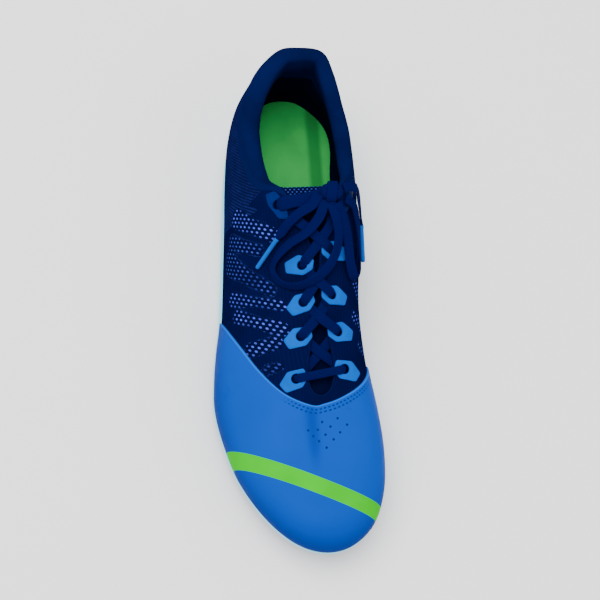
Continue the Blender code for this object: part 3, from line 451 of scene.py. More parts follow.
class Shader:
    """A material's nodes, built with short calls."""

    def __init__(self, name, colour, roughness, metallic=0.0, spec=0.5):
        self.material = bpy.data.materials.new(name)
        self.material.use_nodes = True
        self.tree = self.material.node_tree
        self.main = self.tree.nodes["Principled BSDF"]
        self.set("Base Color", (*colour, 1.0))
        self.set("Roughness", roughness)
        self.set("Metallic", metallic)
        self.set("Specular IOR Level", spec)

    def set(self, socket, value):
        """Set or link a socket of the shader."""
        self.into(self.main.inputs[socket], value)

    def into(self, socket, value):
        """Give a socket a value, or link it to another node's output."""
        if isinstance(value, bpy.types.NodeSocket):
            self.tree.links.new(value, socket)
        else:
            socket.default_value = value

    def node(self, kind, values=(), out=0, **settings):
        """Add a node with its properties, feed its sockets in order or by name, and return one output."""
        item = self.tree.nodes.new("ShaderNode" + kind)
        for key, value in settings.items():
            setattr(item, key, value)
        for key, value in values.items() if isinstance(values, dict) else enumerate(values):
            self.into(item.inputs[key], value)
        return item.outputs[out]

    def math(self, operation, *values):
        """One step of arithmetic."""
        return self.node("Math", values, operation=operation)

    def times(self, first, *others):
        """Multiply numbers."""
        for other in others:
            first = self.math("MULTIPLY", first, other)
        return first

    def vector(self, operation, *values):
        """One step of vector arithmetic."""
        out = "Value" if operation in ("LENGTH", "DOT_PRODUCT") else "Vector"
        return self.node("VectorMath", values, out, operation=operation)

    def part(self, vector, index):
        """One part of a vector."""
        return self.node("SeparateXYZ", (vector,), index)

    def ramp(self, value, low, high, start=0.0, end=1.0):
        """Ease a value from one range to another."""
        return self.node("MapRange", (value, low, high, start, end), interpolation_type="SMOOTHSTEP")

    def below(self, value, low, high):
        """Return 1 under low, easing to 0 over high."""
        return self.ramp(value, low, high, 1.0, 0.0)

    def mix(self, share, a, b):
        """Mix two colours."""
        a, b = ((*value, 1.0) if isinstance(value, tuple) else value for value in (a, b))
        return self.node("Mix", {0: share, 6: a, 7: b}, 2, data_type="RGBA")

    def attribute(self, name):
        """Read a number stored on the mesh."""
        return self.node("Attribute", (), "Fac", attribute_name=name)

    def place(self):
        """Read the place on the object, in metres."""
        return self.node("TexCoord", (), "Object")

    def uv(self):
        """Read the lengths along and up the surface, in metres."""
        return self.node("UVMap", (), "UV", uv_map="UVMap")

    def noise(self, scale, detail=2.0, rough=0.5):
        """Seeded noise over the object."""
        given = {"Vector": self.place(), "Scale": scale, "Detail": detail, "Roughness": rough}
        return self.node("TexNoise", given, "Fac")

    def patches(self, scale, detail=2.0):
        """Soft patches of 0 and 1."""
        return self.ramp(self.noise(scale, detail), 0.3, 0.7)

    def ribs(self, where, scale, direction):
        """Even ribs across a direction."""
        return self.node("TexWave", {"Vector": where, "Scale": scale}, "Fac", wave_type="BANDS",
                         bands_direction=direction)

    def bump(self, height, distance, strength=1.0, under=None):
        """Turn a height into a bump on the shader."""
        given = {"Height": height, "Distance": distance, "Strength": strength}
        if under is not None:
            given["Normal"] = under
        normal = self.node("Bump", given, "Normal")
        self.set("Normal", normal)
        return normal

    def lattice(self, where, pitch_u, pitch_v, squeeze=1.0):
        """Distance from the nearest point of a staggered lattice, in metres, with its v part squeezed."""
        scaled = self.vector("DIVIDE", where, (pitch_u, pitch_v, 1.0))
        found = []
        for shift in (0.0, 0.5):
            moved = self.vector("ADD", scaled, (shift, shift, 0.0))
            centred = self.vector("SUBTRACT", self.vector("FRACTION", moved), (0.5, 0.5, 0.0))
            metres = self.vector("MULTIPLY", centred, (pitch_u, pitch_v * squeeze, 0.0))
            found.append(self.vector("LENGTH", metres))
        return self.math("MINIMUM", *found)


def shaded(colour, share):
    """Scale a colour."""
    return tuple(min(c * share, 1.0) for c in colour)


NAVY_MESH = (0.0018, 0.0030, 0.034)
NAVY_RIB = (0.0004, 0.0014, 0.015)
NAVY_FILM = (0.0015, 0.0028, 0.036)
NAVY_COLLAR = (0.0010, 0.0042, 0.044)
NAVY_LINING = (0.0004, 0.0018, 0.016)
DOT_LIGHT = (0.056, 0.088, 0.54)
AZURE = (0.0, 0.050, 0.335)
# Darker azure: painted shade on the overlay, low down and along its crease, and also the colour of its
# scuffs
AZURE_SHADE_AND_SCUFF = (0.0, 0.020, 0.175)
AZURE_EDGE = (0.0, 0.098, 0.52)
STITCH_BLUE = (0.0, 0.008, 0.080)
# Darker blue of the top eyelets' tabs: a patch colour darkened as painted shade
TAB_SHADE_BLUE = (0.0, 0.010, 0.095)
PATCH_BLUE = (0.0, 0.080, 0.410)
LACE_BLUE = (0.0006, 0.0027, 0.050)
STRIPE_GREEN = (0.012, 0.430, 0.001)
INSOLE_GREEN = (0.028, 0.310, 0.062)
FOAM_BLUE = (0.270, 0.720, 0.900)
PLATE_BLUE = (0.0, 0.030, 0.230)
TONGUE_DOT = (0.018, 0.034, 0.20)
MATT = 0.006
SATIN = 0.006

# Plain finishes: two shares of the colour in soft patches, and the grain's scale, detail, depth and strength
Finish = namedtuple("Finish", "colour rough metal spec coat patches shares grain")
BRUSHED = ((55.0, 3.0), (0.72, 1.0), (3200.0, 1.0, 0.00008, 0.7))
FUSED = ((160.0, 2.0), (1.0, 0.88), (2200.0, 1.0, 0.00004, 0.5))
FINISHES = {
    "collar_cloth": Finish(NAVY_COLLAR, 0.85, 0.0, MATT, 0.0, *BRUSHED),
    "lining_cloth": Finish(NAVY_LINING, 0.85, 0.0, MATT, 0.0, *BRUSHED),
    "patch_film": Finish(PATCH_BLUE, 0.42, 0.0, SATIN, 0.0, *FUSED),
    # The tab's darker blue is painted shade
    "tab_film": Finish(TAB_SHADE_BLUE, 0.42, 0.0, SATIN, 0.0, *FUSED),
    "aglet_plastic": Finish(PATCH_BLUE, 0.42, 0.0, SATIN, 0.0, *FUSED),
    "foam": Finish(FOAM_BLUE, 0.55, 0.0, SATIN, 0.0, None, None, (1300.0, 2.0, 0.00008, 0.6)),
    "plate_plastic": Finish(PLATE_BLUE, 0.30, 0.0, 0.5, 0.3, None, None, (700.0, 2.0, 0.00004, 0.5)),
    "heel_rubber": Finish((0.004, 0.008, 0.035), 0.62, 0.0, 0.5, 0.0, None, None, (900.0, 2.0, 0.0001, 0.6)),
    "pin_steel": Finish((0.62, 0.62, 0.64), 0.28, 1.0, 0.5, 0.0, None, None, (2500.0, 1.0, 0.00002, 0.4)),
}


def plain_shader(name):
    """Build a finish of the table."""
    finish = FINISHES[name]
    s = Shader(name, finish.colour, finish.rough, finish.metal, finish.spec)
    s.set("Coat Weight", finish.coat)
    if finish.patches:
        tones = (shaded(finish.colour, share) for share in finish.shares)
        s.set("Base Color", s.mix(s.patches(*finish.patches), *tones))
    scale, detail, depth, strength = finish.grain
    s.bump(s.noise(scale, detail), depth, strength)
    return s.material


MESH_PITCH, MESH_SQUEEZE, MESH_HOLE = (0.0047, 0.0043), 0.63, (0.00052, 0.00074)
KNIT_PITCH, KNIT_SQUEEZE, KNIT_HOLE = (0.0019, 0.0023), 0.8, (0.00038, 0.00054)
FAINT_GLOW, BOLD_GLOW = 0.13, (0.12, 0.30)
CLOTH_RIBS, FILM_RIBS = 190.0, 130.0


def upper_shader():
    """Knitted mesh with staggered openings, fused films between them, and fine ribs."""
    s = Shader("upper_mesh", NAVY_MESH, 0.72, spec=0.0)
    where = s.uv()
    climb = s.part(where, 1)
    rows = s.node("CombineXYZ", (s.math("ADD", s.part(s.place(), 1), s.times(climb, MESH_ROW_LEAN)), climb))
    dots = s.below(s.lattice(rows, *MESH_PITCH, MESH_SQUEEZE), *MESH_HOLE)
    fine = s.below(s.lattice(where, *KNIT_PITCH, KNIT_SQUEEZE), *KNIT_HOLE)
    film = s.ramp(s.attribute("film"), -0.0003, 0.0003)
    band = s.ramp(s.attribute("rim"), -0.0004, 0.0004)
    glow = s.attribute("glow")
    uneven = s.ramp(s.noise(140.0), 0.35, 0.65, 0.55, 1.0)
    bold = s.ramp(glow, *BOLD_GLOW)
    faint = s.times(fine, FAINT_GLOW, s.math("SUBTRACT", 1.0, bold), uneven)
    lit = s.math("ADD", s.times(dots, glow, uneven, bold), faint)
    ribs = s.ribs(where, CLOTH_RIBS, "X")
    cloth = s.mix(lit, s.mix(ribs, NAVY_RIB, NAVY_MESH), DOT_LIGHT)
    skin = s.mix(s.ribs(where, FILM_RIBS, "Y"), shaded(NAVY_FILM, 0.80), NAVY_FILM)
    skin = s.mix(s.ramp(s.noise(45.0, 3.0), 0.3, 0.7, 0.0, 0.45), skin, NAVY_RIB)
    s.set("Base Color", s.mix(band, s.mix(film, cloth, skin), NAVY_COLLAR))
    s.set("Roughness", s.ramp(film, 0.0, 1.0, 0.75, 0.50))
    open_cloth = s.times(s.math("SUBTRACT", 1.0, s.times(film, 0.75)), s.math("SUBTRACT", 1.0, band))
    relief = s.times(open_cloth, s.math("ADD", s.times(ribs, 0.5), dots))
    grain = s.bump(s.noise(2600.0, 1.0), 0.00006, 0.6)
    s.bump(s.math("ADD", relief, s.times(film, 1.3)), 0.00025, 0.8, grain)
    return s.material


STITCH_PITCH, STITCH_ROWS = 0.0021, (0.0015, 0.0034)
STRIPE_BLUR, VENT_BLUR = 0.0001, 0.00012


def overlay_shader():
    """Satin synthetic film: an edge line, two stitch rows, vent holes, a plain stripe, scuffs and a fine
    grain, with painted shade low down and along the crease.
    """
    s = Shader("overlay_film", AZURE, 0.40, spec=SATIN)
    edge, where = s.attribute("edge"), s.place()
    base = s.mix(s.patches(22.0), AZURE, shaded(AZURE, 0.93))
    # Painted shade: the film darkens towards the sole, low on the toe box
    base = s.mix(s.ramp(s.attribute("height"), 0.0, 0.026), AZURE_SHADE_AND_SCUFF, base)
    base = s.mix(s.below(edge, 0.0004, 0.0007), base, AZURE_EDGE)
    phase = s.math("FRACT", s.math("DIVIDE", s.attribute("along"), STITCH_PITCH))
    dash = s.times(s.ramp(phase, 0.30, 0.42), s.below(phase, 0.82, 0.94))
    rows = (s.times(s.ramp(edge, at, at + 0.0003), s.below(edge, at + 0.0008, at + 0.0011))
            for at in STITCH_ROWS)
    stitch = s.times(dash, s.math("MAXIMUM", *rows), s.attribute("stitched"))
    base = s.mix(s.times(stitch, 0.8), base, STITCH_BLUE)
    off = s.vector("SUBTRACT", where, (*STRIPE_MIDDLE, 0.0))
    slant = s.vector("DOT_PRODUCT", off, (-math.sin(STRIPE_TURN), math.cos(STRIPE_TURN), 0.0))
    stripe = s.below(s.math("ABSOLUTE", slant), STRIPE_HALF - STRIPE_BLUR, STRIPE_HALF + STRIPE_BLUR)
    base = s.mix(stripe, base, s.mix(s.patches(60.0), STRIPE_GREEN, shaded(STRIPE_GREEN, 0.88)))
    nearest = 1.0
    for x, y in VENTS:
        flat = s.vector("MULTIPLY", s.vector("SUBTRACT", where, (x / 1000, y / 1000, 0.0)), (1.0, 1.0, 0.0))
        nearest = s.math("MINIMUM", nearest, s.vector("LENGTH", flat))
    vent = s.below(nearest, VENT_RADIUS - VENT_BLUR, VENT_RADIUS + VENT_BLUR)
    base = s.mix(vent, base, STITCH_BLUE)
    # Painted shade along the toe box's crease
    base = s.mix(s.times(s.attribute("fold"), 0.55), base, AZURE_SHADE_AND_SCUFF)
    scuff = s.times(s.ramp(s.noise(38.0, 6.0, 0.7), 0.60, 0.72), 0.22)
    s.set("Base Color", s.mix(scuff, base, AZURE_SHADE_AND_SCUFF))
    s.set("Roughness", s.ramp(s.noise(90.0), 0.2, 0.8, 0.38, 0.50))
    grain = s.bump(s.noise(1500.0), 0.00005, 0.5)
    s.bump(s.math("MAXIMUM", stitch, vent), 0.0003, -0.9, grain)
    return s.material


YARN_PITCH, WARP_PITCH = 0.00105, 0.00078


def lace_shader():
    """Flat woven lace: a herringbone over its width, with firm edges."""
    s = Shader("lace_weave", LACE_BLUE, 0.8, spec=MATT)
    along, across = (s.part(s.uv(), i) for i in (0, 1))
    slant = s.math("ADD", along, s.times(s.math("ABSOLUTE", across), 0.9))
    yarn = s.math("SINE", s.times(slant, 2 * math.pi / YARN_PITCH))
    warp = s.math("SINE", s.times(across, 2 * math.pi / WARP_PITCH))
    weave = s.times(s.math("ADD", s.math("ADD", yarn, warp), 2.0), 0.25)
    s.set("Base Color", s.mix(weave, shaded(LACE_BLUE, 0.55), shaded(LACE_BLUE, 1.25)))
    s.bump(weave, 0.00022, 0.9)
    return s.material


def tongue_shader():
    """Thin padded cloth, with fine openings near its free end."""
    s = Shader("tongue_cloth", NAVY_COLLAR, 0.8, spec=MATT)
    where = s.uv()
    dots = s.below(s.lattice(where, 0.0024, 0.0030), 0.0004, 0.0006)
    end = s.ramp(s.part(where, 1), 0.043, 0.047)
    s.set("Base Color", s.mix(s.times(dots, end), NAVY_RIB, TONGUE_DOT))
    s.bump(s.noise(1800.0, 1.0), 0.0001, 0.6)
    return s.material


# Places across the insole, metres: its outer side, lightened with painted light, and a darker strip along
# its inner side
PAINTED_LIGHT_SIDE, DARK_STRIP_FROM, DARK_STRIP_TO, DARK_STRIP_SHARE = (-0.012, 0.010), (0.0165, 0.0205), (0.0245, 0.0280), 0.80


def insole_shader():
    """Brushed sock liner, with painted light on its outer side and a darker strip along its inner side."""
    s = Shader("insole_cloth", INSOLE_GREEN, 0.88, spec=MATT)
    green = s.mix(s.ramp(s.noise(60.0, 3.0), 0.3, 0.75), INSOLE_GREEN, shaded(INSOLE_GREEN, 0.8))
    across = s.part(s.place(), 0)
    # Painted light: the insole's outer side is lightened
    green = s.mix(s.ramp(across, *PAINTED_LIGHT_SIDE, 0.45, 0.0), green, shaded(INSOLE_GREEN, 1.8))
    # A darker strip along the inner side
    dark_strip = s.times(s.ramp(across, *DARK_STRIP_FROM), s.below(across, *DARK_STRIP_TO), DARK_STRIP_SHARE)
    s.set("Base Color", s.mix(dark_strip, green, shaded(INSOLE_GREEN, 0.40)))
    s.bump(s.noise(2400.0, 1.0), 0.0001, 0.6)
    return s.material


# ---- Camera ----

CAMERA_PLACE = Vector((-0.101, -0.196, 0.745))
CAMERA_AIM = Vector((0.0053, 0.0035, 0.030))
CAMERA_UP = Vector((0.075, 0.997, 0.0))
CAMERA_LENS = 78.0


def add_camera():
    """Place the camera as the photograph's stood, rolled with it, closer in by its lens."""
    data = bpy.data.cameras.new("camera")
    data.lens = CAMERA_LENS
    data.sensor_width = 36.0
    data.clip_start = 0.01
    camera = bpy.data.objects.new("camera", data)
    bpy.context.scene.collection.objects.link(camera)
    forward = (CAMERA_AIM - CAMERA_PLACE).normalized()
    right = forward.cross(CAMERA_UP).normalized()
    up = right.cross(forward)
    turn = Matrix((right, up, -forward)).transposed().to_4x4()
    camera.matrix_world = Matrix.Translation(CAMERA_PLACE) @ turn
    bpy.context.scene.camera = camera


# ---- Lace ----

BAR_WIDTH, CROSS_WIDTH, LEAD_WIDTH, WRAP_WIDTH = 0.0048, 0.0056, 0.0076, 0.0058
LACE_OVER = PATCH_THICK + 2 * GAP + LACE_THICK / 2
LACE_UNDER = -(WALL + GAP + LACE_THICK / 2)
IN_HOLE = -0.0026
HOLE_BACK = 0.0017
FOLD_START, FOLD_RUN, FOLD_WIDTH = 0.0018, 0.0036, 0.0044
LIFT_BLUR = np.array((1.0, 4.0, 6.0, 4.0, 1.0)) / 16.0
KNOT_PINCH, KNOT_PINCH_SPREAD = 0.22, 0.35
WRAP_OUT, WRAP_SLANT = 1.02, 0.00088
AGLET_OVERLAP = 0.0012
AGLET_TAPER = 0.0060

# An aglet's form: share of its length, and size in radii
AGLET_FORM = (
    (0.0, 0.90), (0.0, 1.10), (0.03, 1.16), (0.07, 1.12), (0.10, 1.04), (0.55, 1.0), (0.93, 1.0),
    (0.97, 0.94), (0.99, 0.78), (1.0, 0.50), (1.0, 0.0),
)


def path_sides(centres, normals):
    """Return the directions across and over a path."""
    ahead = unit(np.gradient(centres, axis=0))
    side = unit(np.cross(ahead, normals))
    return side, np.cross(side, ahead)


def ribbon_mesh(centres, normals, width, fold=(False, False)):
    """Return vertices, faces and UVs of a flat lace along a path. fold narrows its ends into their holes."""
    around = 16
    centres, normals = np.asarray(centres, float), np.asarray(normals, float)
    length = arc_lengths(centres)
    narrow = np.zeros(len(centres))
    for wanted, run in zip(fold, (length, length[-1] - length)):
        if wanted:
            narrow = np.maximum(narrow, 1.0 - smooth((run - FOLD_START) / FOLD_RUN))
    width = (width + (FOLD_WIDTH - width) * narrow)[:, None]
    thick = (LACE_THICK * (1.0 + 0.8 * narrow))[:, None]
    side, up = path_sides(centres, normals)
    cos, sin = np.cos(ring(around)), np.sin(ring(around))
    a = np.sign(cos) * np.abs(cos) ** 0.45 * width / 2
    b = np.sign(sin) * np.abs(sin) ** 0.9 * thick / 2
    points = centres[:, None, :] + side[:, None, :] * a[..., None] + up[:, None, :] * b[..., None]
    uvs = np.stack((np.broadcast_to(length[:, None], a.shape), a), -1)
    faces = grid_faces(len(centres), around, closed_columns=True)
    faces.append(tuple(range(around)))
    faces.append(tuple((len(centres) - 1) * around + i for i in reversed(range(around))))
    return points, faces, uvs


def lace_run(start, end, lifts, bend=0.0, both_holes=True):
    """Path over the last between two places: lifts are pairs of share and height."""
    start, end = np.array(start), np.array(end)
    ahead = unit(end - start)
    start = start - ahead * HOLE_BACK
    end = end + ahead * (HOLE_BACK if both_holes else 0.0)
    shares = np.linspace(0.0, 1.0, 48)
    heights = np.convolve(np.pad(np.interp(shares, *zip(*lifts)), 2, mode="edge"), LIFT_BLUR, mode="valid")
    across = np.array((-ahead[1], ahead[0]))
    plan = start + (end - start) * shares[:, None] + across * bend * np.sin(math.pi * shares)[:, None]
    return [on_top(x, y, h) for (x, y), h in zip(plan, heights)], [top_normal(x, y) for x, y in plan]


def lacing(material):
    """The lace from row to row: out of each hole, over the throat, and under the other stay."""
    row_4, row_3, row_2, row_1, row_top = EYELETS

    def add(name, node, path, width, fold=(True, True)):
        points, faces, uvs = ribbon_mesh(*path, width, fold)
        mesh_object(name, points, faces, [material], node, uvs)

    over = ((0.0, IN_HOLE), (0.12, LACE_OVER), (0.88, LACE_OVER), (1.0, IN_HOLE))
    bar = lace_run(eyelet_place(row_4, -1), eyelet_place(row_4, 1), over)
    add("lace_bar_front", "lace_bar_4", bar, BAR_WIDTH)
    hops = (
        (row_4, row_3, "lace_cross_43"), (row_3, row_2, "lace_cross_32"), (row_2, row_1, "lace_cross_21"),
        (row_1, row_top, "lace_cross_1t"),
    )
    for low, high, node in hops:
        for side, word in SIDES:
            lift = LACE_THICK if side > 0 else 0.0
            if low is row_4:
                lifts = ((0.0, IN_HOLE), (0.15, LACE_UNDER), (0.5, LACE_UNDER + lift * 0.6),
                         (0.85, LACE_UNDER), (1.0, IN_HOLE))
            else:
                lifts = ((0.0, IN_HOLE), (0.10, LACE_OVER), (0.45, LACE_OVER + lift),
                         (0.55, LACE_OVER + lift * 0.8), (0.80, LACE_UNDER), (0.92, LACE_UNDER),
                         (1.0, IN_HOLE))
            path = lace_run(eyelet_place(low, side), eyelet_place(high, -side), lifts, 0.0010 * side)
            add(f"{node}_{word}", node, path, CROSS_WIDTH)
    lead = ((0.0, IN_HOLE), (0.12, LACE_OVER), (0.9, LACE_OVER + 0.0008), (1.0, LACE_OVER + 0.0012))
    for side, word in SIDES:
        end = (KNOT_PLACE[0] * BALL_WIDTH + side * 0.003, KNOT_PLACE[1] * LENGTH)
        path = lace_run(eyelet_place(row_top, side), end, lead, 0.0015 * side, both_holes=False)
        add(f"lace_lead_{word}", "lace_lead" if side < 0 else None, path, LEAD_WIDTH, (True, False))


def route_path(route, rolls, spacing=0.0012):
    """Return centres, normals and length of a cord along a route, rolled by angles given at even shares."""
    points = [on_top(x * BALL_WIDTH, y * LENGTH, lift) for x, y, lift in route]
    length = float(arc_lengths(open_spline(points, 200))[-1])
    centres = open_spline(points, max(int(length / spacing), 16))
    base = open_spline([top_normal(x * BALL_WIDTH, y * LENGTH) for x, y, _ in route], 60)
    shares = np.linspace(0.0, 1.0, len(centres))
    normals = read_rows(shares, np.linspace(0.0, 1.0, len(base)), base)
    ahead = unit(np.gradient(centres, axis=0))
    normals = unit(normals - ahead * np.sum(normals * ahead, -1, keepdims=True))
    angle = np.radians(np.interp(shares, np.linspace(0.0, 1.0, len(rolls)), rolls))[:, None]
    return centres, normals * np.cos(angle) + np.cross(ahead, normals) * np.sin(angle), length


def loose_lace(material, aglet_material):
    """The two loops and the two ends with their aglets."""
    loops = (
        ("lace_loop_outer", "lace_loop_lateral", LOOP_LATERAL, (0, 10, 25, 20, 35, 55, 40, 15, 5, 0, 0)),
        ("lace_loop_inner", "lace_loop_medial", LOOP_MEDIAL, (0, 0, -10, -20, -35, -50, -30, -10, 0, 0)),
    )
    for name, node, route, rolls in loops:
        centres, normals, length = route_path(route, rolls)
        points, faces, uvs = ribbon_mesh(centres, normals, CORD_WIDTH)
        item = mesh_object(name, points, faces, [material], node, uvs)
    ends = (
        ("lace_tail_outer", "lace_end_lateral", "aglet_lateral", END_LATERAL, (0, 5, 10, 10, 5, 0)),
        ("lace_tail_inner", "lace_end_medial", "aglet_medial", END_MEDIAL, (0, -5, -5, 0, 0, 0)),
    )
    for name, node, tip_node, route, rolls in ends:
        centres, normals, length = route_path(route, rolls)
        points, faces, uvs = ribbon_mesh(centres, normals, CORD_WIDTH)
        share = smooth((arc_lengths(centres) - (length - AGLET_TAPER)) / AGLET_TAPER)[:, None, None]
        side, up = path_sides(centres, normals)
        angles = ring(points.shape[1])[None, :, None]
        round_form = centres[:, None, :] + AGLET_RADIUS * (side[:, None, :] * np.cos(angles)
                                                           + up[:, None, :] * np.sin(angles))
        points = points * (1 - share) + round_form * share
        item = mesh_object(name, points, faces, [material], node, uvs)
        tip = aglet(name.replace("lace_tail", "aglet"), tip_node, centres, aglet_material)


def aglet(name, node, centres, material):
    """Stiff sleeve over a lace's end: straight, with a slight waist and a rounded tip."""
    ahead = unit(centres[-1] - centres[-2])
    side = unit(np.cross(ahead, (0.0, 0.0, 1.0)))
    up = np.cross(side, ahead)
    angles = ring(24)[:, None]
    start = centres[-1] - ahead * AGLET_OVERLAP
    out = (side * np.cos(angles) + up * np.sin(angles)) * AGLET_RADIUS
    along = ahead * (AGLET_LENGTH + AGLET_OVERLAP)
    points = [start + along * share + out * size for share, size in AGLET_FORM]
    faces = grid_faces(len(AGLET_FORM), len(angles), closed_columns=True)
    return mesh_object(name, points, faces, [material], node)


def knot(material):
    """Knot on the throat's top end: a pinched core with a lace wrapped over it."""
    x, y = KNOT_PLACE[0] * BALL_WIDTH, KNOT_PLACE[1] * LENGTH
    centre, up = np.array(on_top(x, y, KNOT_PLACE[2])), np.array(top_normal(x, y))
    right = unit(np.cross((0.0, 1.0, 0.0), up))
    fore = np.cross(up, right)
    width, depth, height = (size / 2 for size in KNOT_SIZE)
    lat = np.linspace(-math.pi / 2, math.pi / 2, 21)[:, None]
    lon = ring(32)[None, :]
    pinched = np.cos(lat) * (1.0 - KNOT_PINCH * np.exp(-(np.sin(lat) / KNOT_PINCH_SPREAD) ** 2))
    b, c = np.cos(lon) * depth * pinched, np.sin(lon) * height * pinched
    a = np.broadcast_to(np.sin(lat) * width, b.shape)
    points = centre + right * a[..., None] + fore * b[..., None] + up * c[..., None]
    uvs = np.stack((a + 0.5 * b, c + 0.3 * b), -1)
    mesh_object("lace_knot_core", points, grid_faces(*a.shape, closed_columns=True), [material],
                "lace_knot", uvs)
    angles = np.linspace(-0.35 * math.pi, 1.35 * math.pi, 44)[:, None]
    cos, sin = np.cos(angles), np.sin(angles)
    path = centre + (fore * cos * depth + up * sin * height) * WRAP_OUT + right * cos * WRAP_SLANT
    points, faces, uvs = ribbon_mesh(path, unit(fore * cos / depth + up * sin / height), WRAP_WIDTH)
    mesh_object("lace_knot_wrap", points, faces, [material], None, uvs)


# ---- Upper ----

COLUMNS = 20
OUTER_LEVELS, RIM_LEVELS, INNER_LEVELS = 88, 9, 44
COLLAR_START, COLLAR_TURN_IN = 10.2, 14
BAND_WIDTH = 0.0052
CREASE_X = 0.0034
CREASE_DEPTH = 0.00070
CREASE_SPREAD = 0.0034
FOLDS = ((-0.090, 0.00030), (-0.101, 0.00020))
STAY_LATERAL, STAY_MEDIAL = 0.0185, 0.0205
MESH_END = 0.045
MESH_RISE = 0.0006
COLLAR_GLOW, HEEL_GLOW = 0.10, 0.06
OVERLAY_REACH, OVERLAY_COLUMNS, OVERLAY_LEVELS = (-8.6, 9.6), 400, 90
EYELET_CUT = 0.012
TAB_THICK = PATCH_THICK * 0.7

# The overlay's rounded rear rim: share of its lift, and how far it stands forwards
OVERLAY_RIM = ((0.85, 0.00018), (0.55, 0.00030), (0.0, 0.00034))

# A film's levels from its hole to its edge: share of the way, and share of its height
FILM_LEVELS = (
    (0.0, 0.0), (0.0, 0.75), (0.04, 1.0), (0.25, 1.0), (0.5, 1.0), (0.75, 1.0), (0.96, 1.0), (1.0, 0.75),
    (1.0, 0.0),
)

# Rear edge of the overlay in plan, as a fine line
VAMP_LINE = open_spline([(x * BALL_WIDTH, y * LENGTH) for x, y in VAMP_EDGE], 240)


def before_edge(points):
    """How far a point lies in front of the overlay's leaning rear edge, in metres along y."""
    limit = np.interp(points[..., 0], VAMP_LINE[:, 0], VAMP_LINE[:, 1])
    throat_front = STATIONS[0][4] * INSTEP_HEIGHT
    return limit + VAMP_LEAN * (throat_front - points[..., 2]) - points[..., 1]


def crease_share(points):
    """Strength of the soft crease down the middle of the toe box, from 0 to 1."""
    x, y = points[..., 0], points[..., 1]
    along = smooth((y + 0.104) / 0.022) * smooth((-0.062 - y) / 0.006)
    return along * np.exp(-((x - CREASE_X + 0.04 * (y + 0.08)) / CREASE_SPREAD) ** 2)


def crease(points):
    """Depth of the toe box's soft crease and of two shallow folds across it."""
    x, y = points[..., 0], points[..., 1]
    across = np.exp(-((x - 0.012) / 0.020) ** 2)
    folds = sum(size * np.exp(-((y - at - 0.10 * (x - 0.01)) / 0.0042) ** 2) for at, size in FOLDS)
    return CREASE_DEPTH * crease_share(points) + across * folds


def strip_distance(points, strip):
    """Signed distance from a tapered strip: negative inside."""
    low, high = strip[0:3], strip[3:6]
    axis = high - low
    share = np.clip(((points - low) @ axis) / (axis @ axis), 0.0, 1.0)
    near = low + share[..., None] * axis
    return np.linalg.norm(points - near, axis=-1) - (strip[6] + (strip[7] - strip[6]) * share)


def upper_zones(k, points, lengths):
    """Return the mesh's glow and the signed depths of film and collar band over the outer face."""
    row, y = row_of(k), points[..., 1]
    from_top = lengths[:, -1:] - lengths
    stay = np.where((k % AROUND) < LAST_ROW, STAY_LATERAL, STAY_MEDIAL)
    stay_zone = np.where((row > 3.4) & (row < 10.6), stay - from_top, -0.01)
    stay_zone = np.minimum(stay_zone, (10.6 - row) * 0.004)
    best = np.full(y.shape, 1.0)
    glow = COLLAR_GLOW + HEEL_GLOW * smooth((y - 0.040) / 0.012)
    for *strip, light in MESH_BANDS:
        distance = strip_distance(points, np.array(strip) / 1000)
        glow = np.maximum(glow, smooth((MESH_RISE - distance) / 0.0016) * light)
        best = np.minimum(best, distance)
    film = np.where(y < MESH_END, best - MESH_RISE, -0.01)
    film = np.minimum(film, (MESH_END - y) * 0.5)
    film = np.maximum(film, stay_zone)
    film = np.where(best < 0.0, np.minimum(film, best), film)
    return glow, film, BAND_WIDTH * smooth((row - 9.2) / 1.8) - from_top


def visual_wall(k, v):
    """Thickness of the wall with the soft lining that stands in at the heel and the collar's sides."""
    row = row_of(k)
    low = smooth((0.85 - v) / 0.5)
    medial = smooth((k - LAST_ROW + 1.0) / 2.0)
    foot = (0.0016 + 0.0024 * medial) * low
    top = (0.0042 - 0.0022 * medial) * smooth((v - 0.70) / 0.25)
    sides = 0.0044 * np.exp(-((v - 0.55) / 0.30) ** 2) + foot + top
    heel = 0.0052 * smooth((row - 13.2) / 2.0) * low
    inwards = sides * (1.0 - 0.45 * smooth((row - 13.8) / 1.6)) + heel
    return wall_thickness(k, v) + smooth((row - 10.2) / 2.2) * inwards


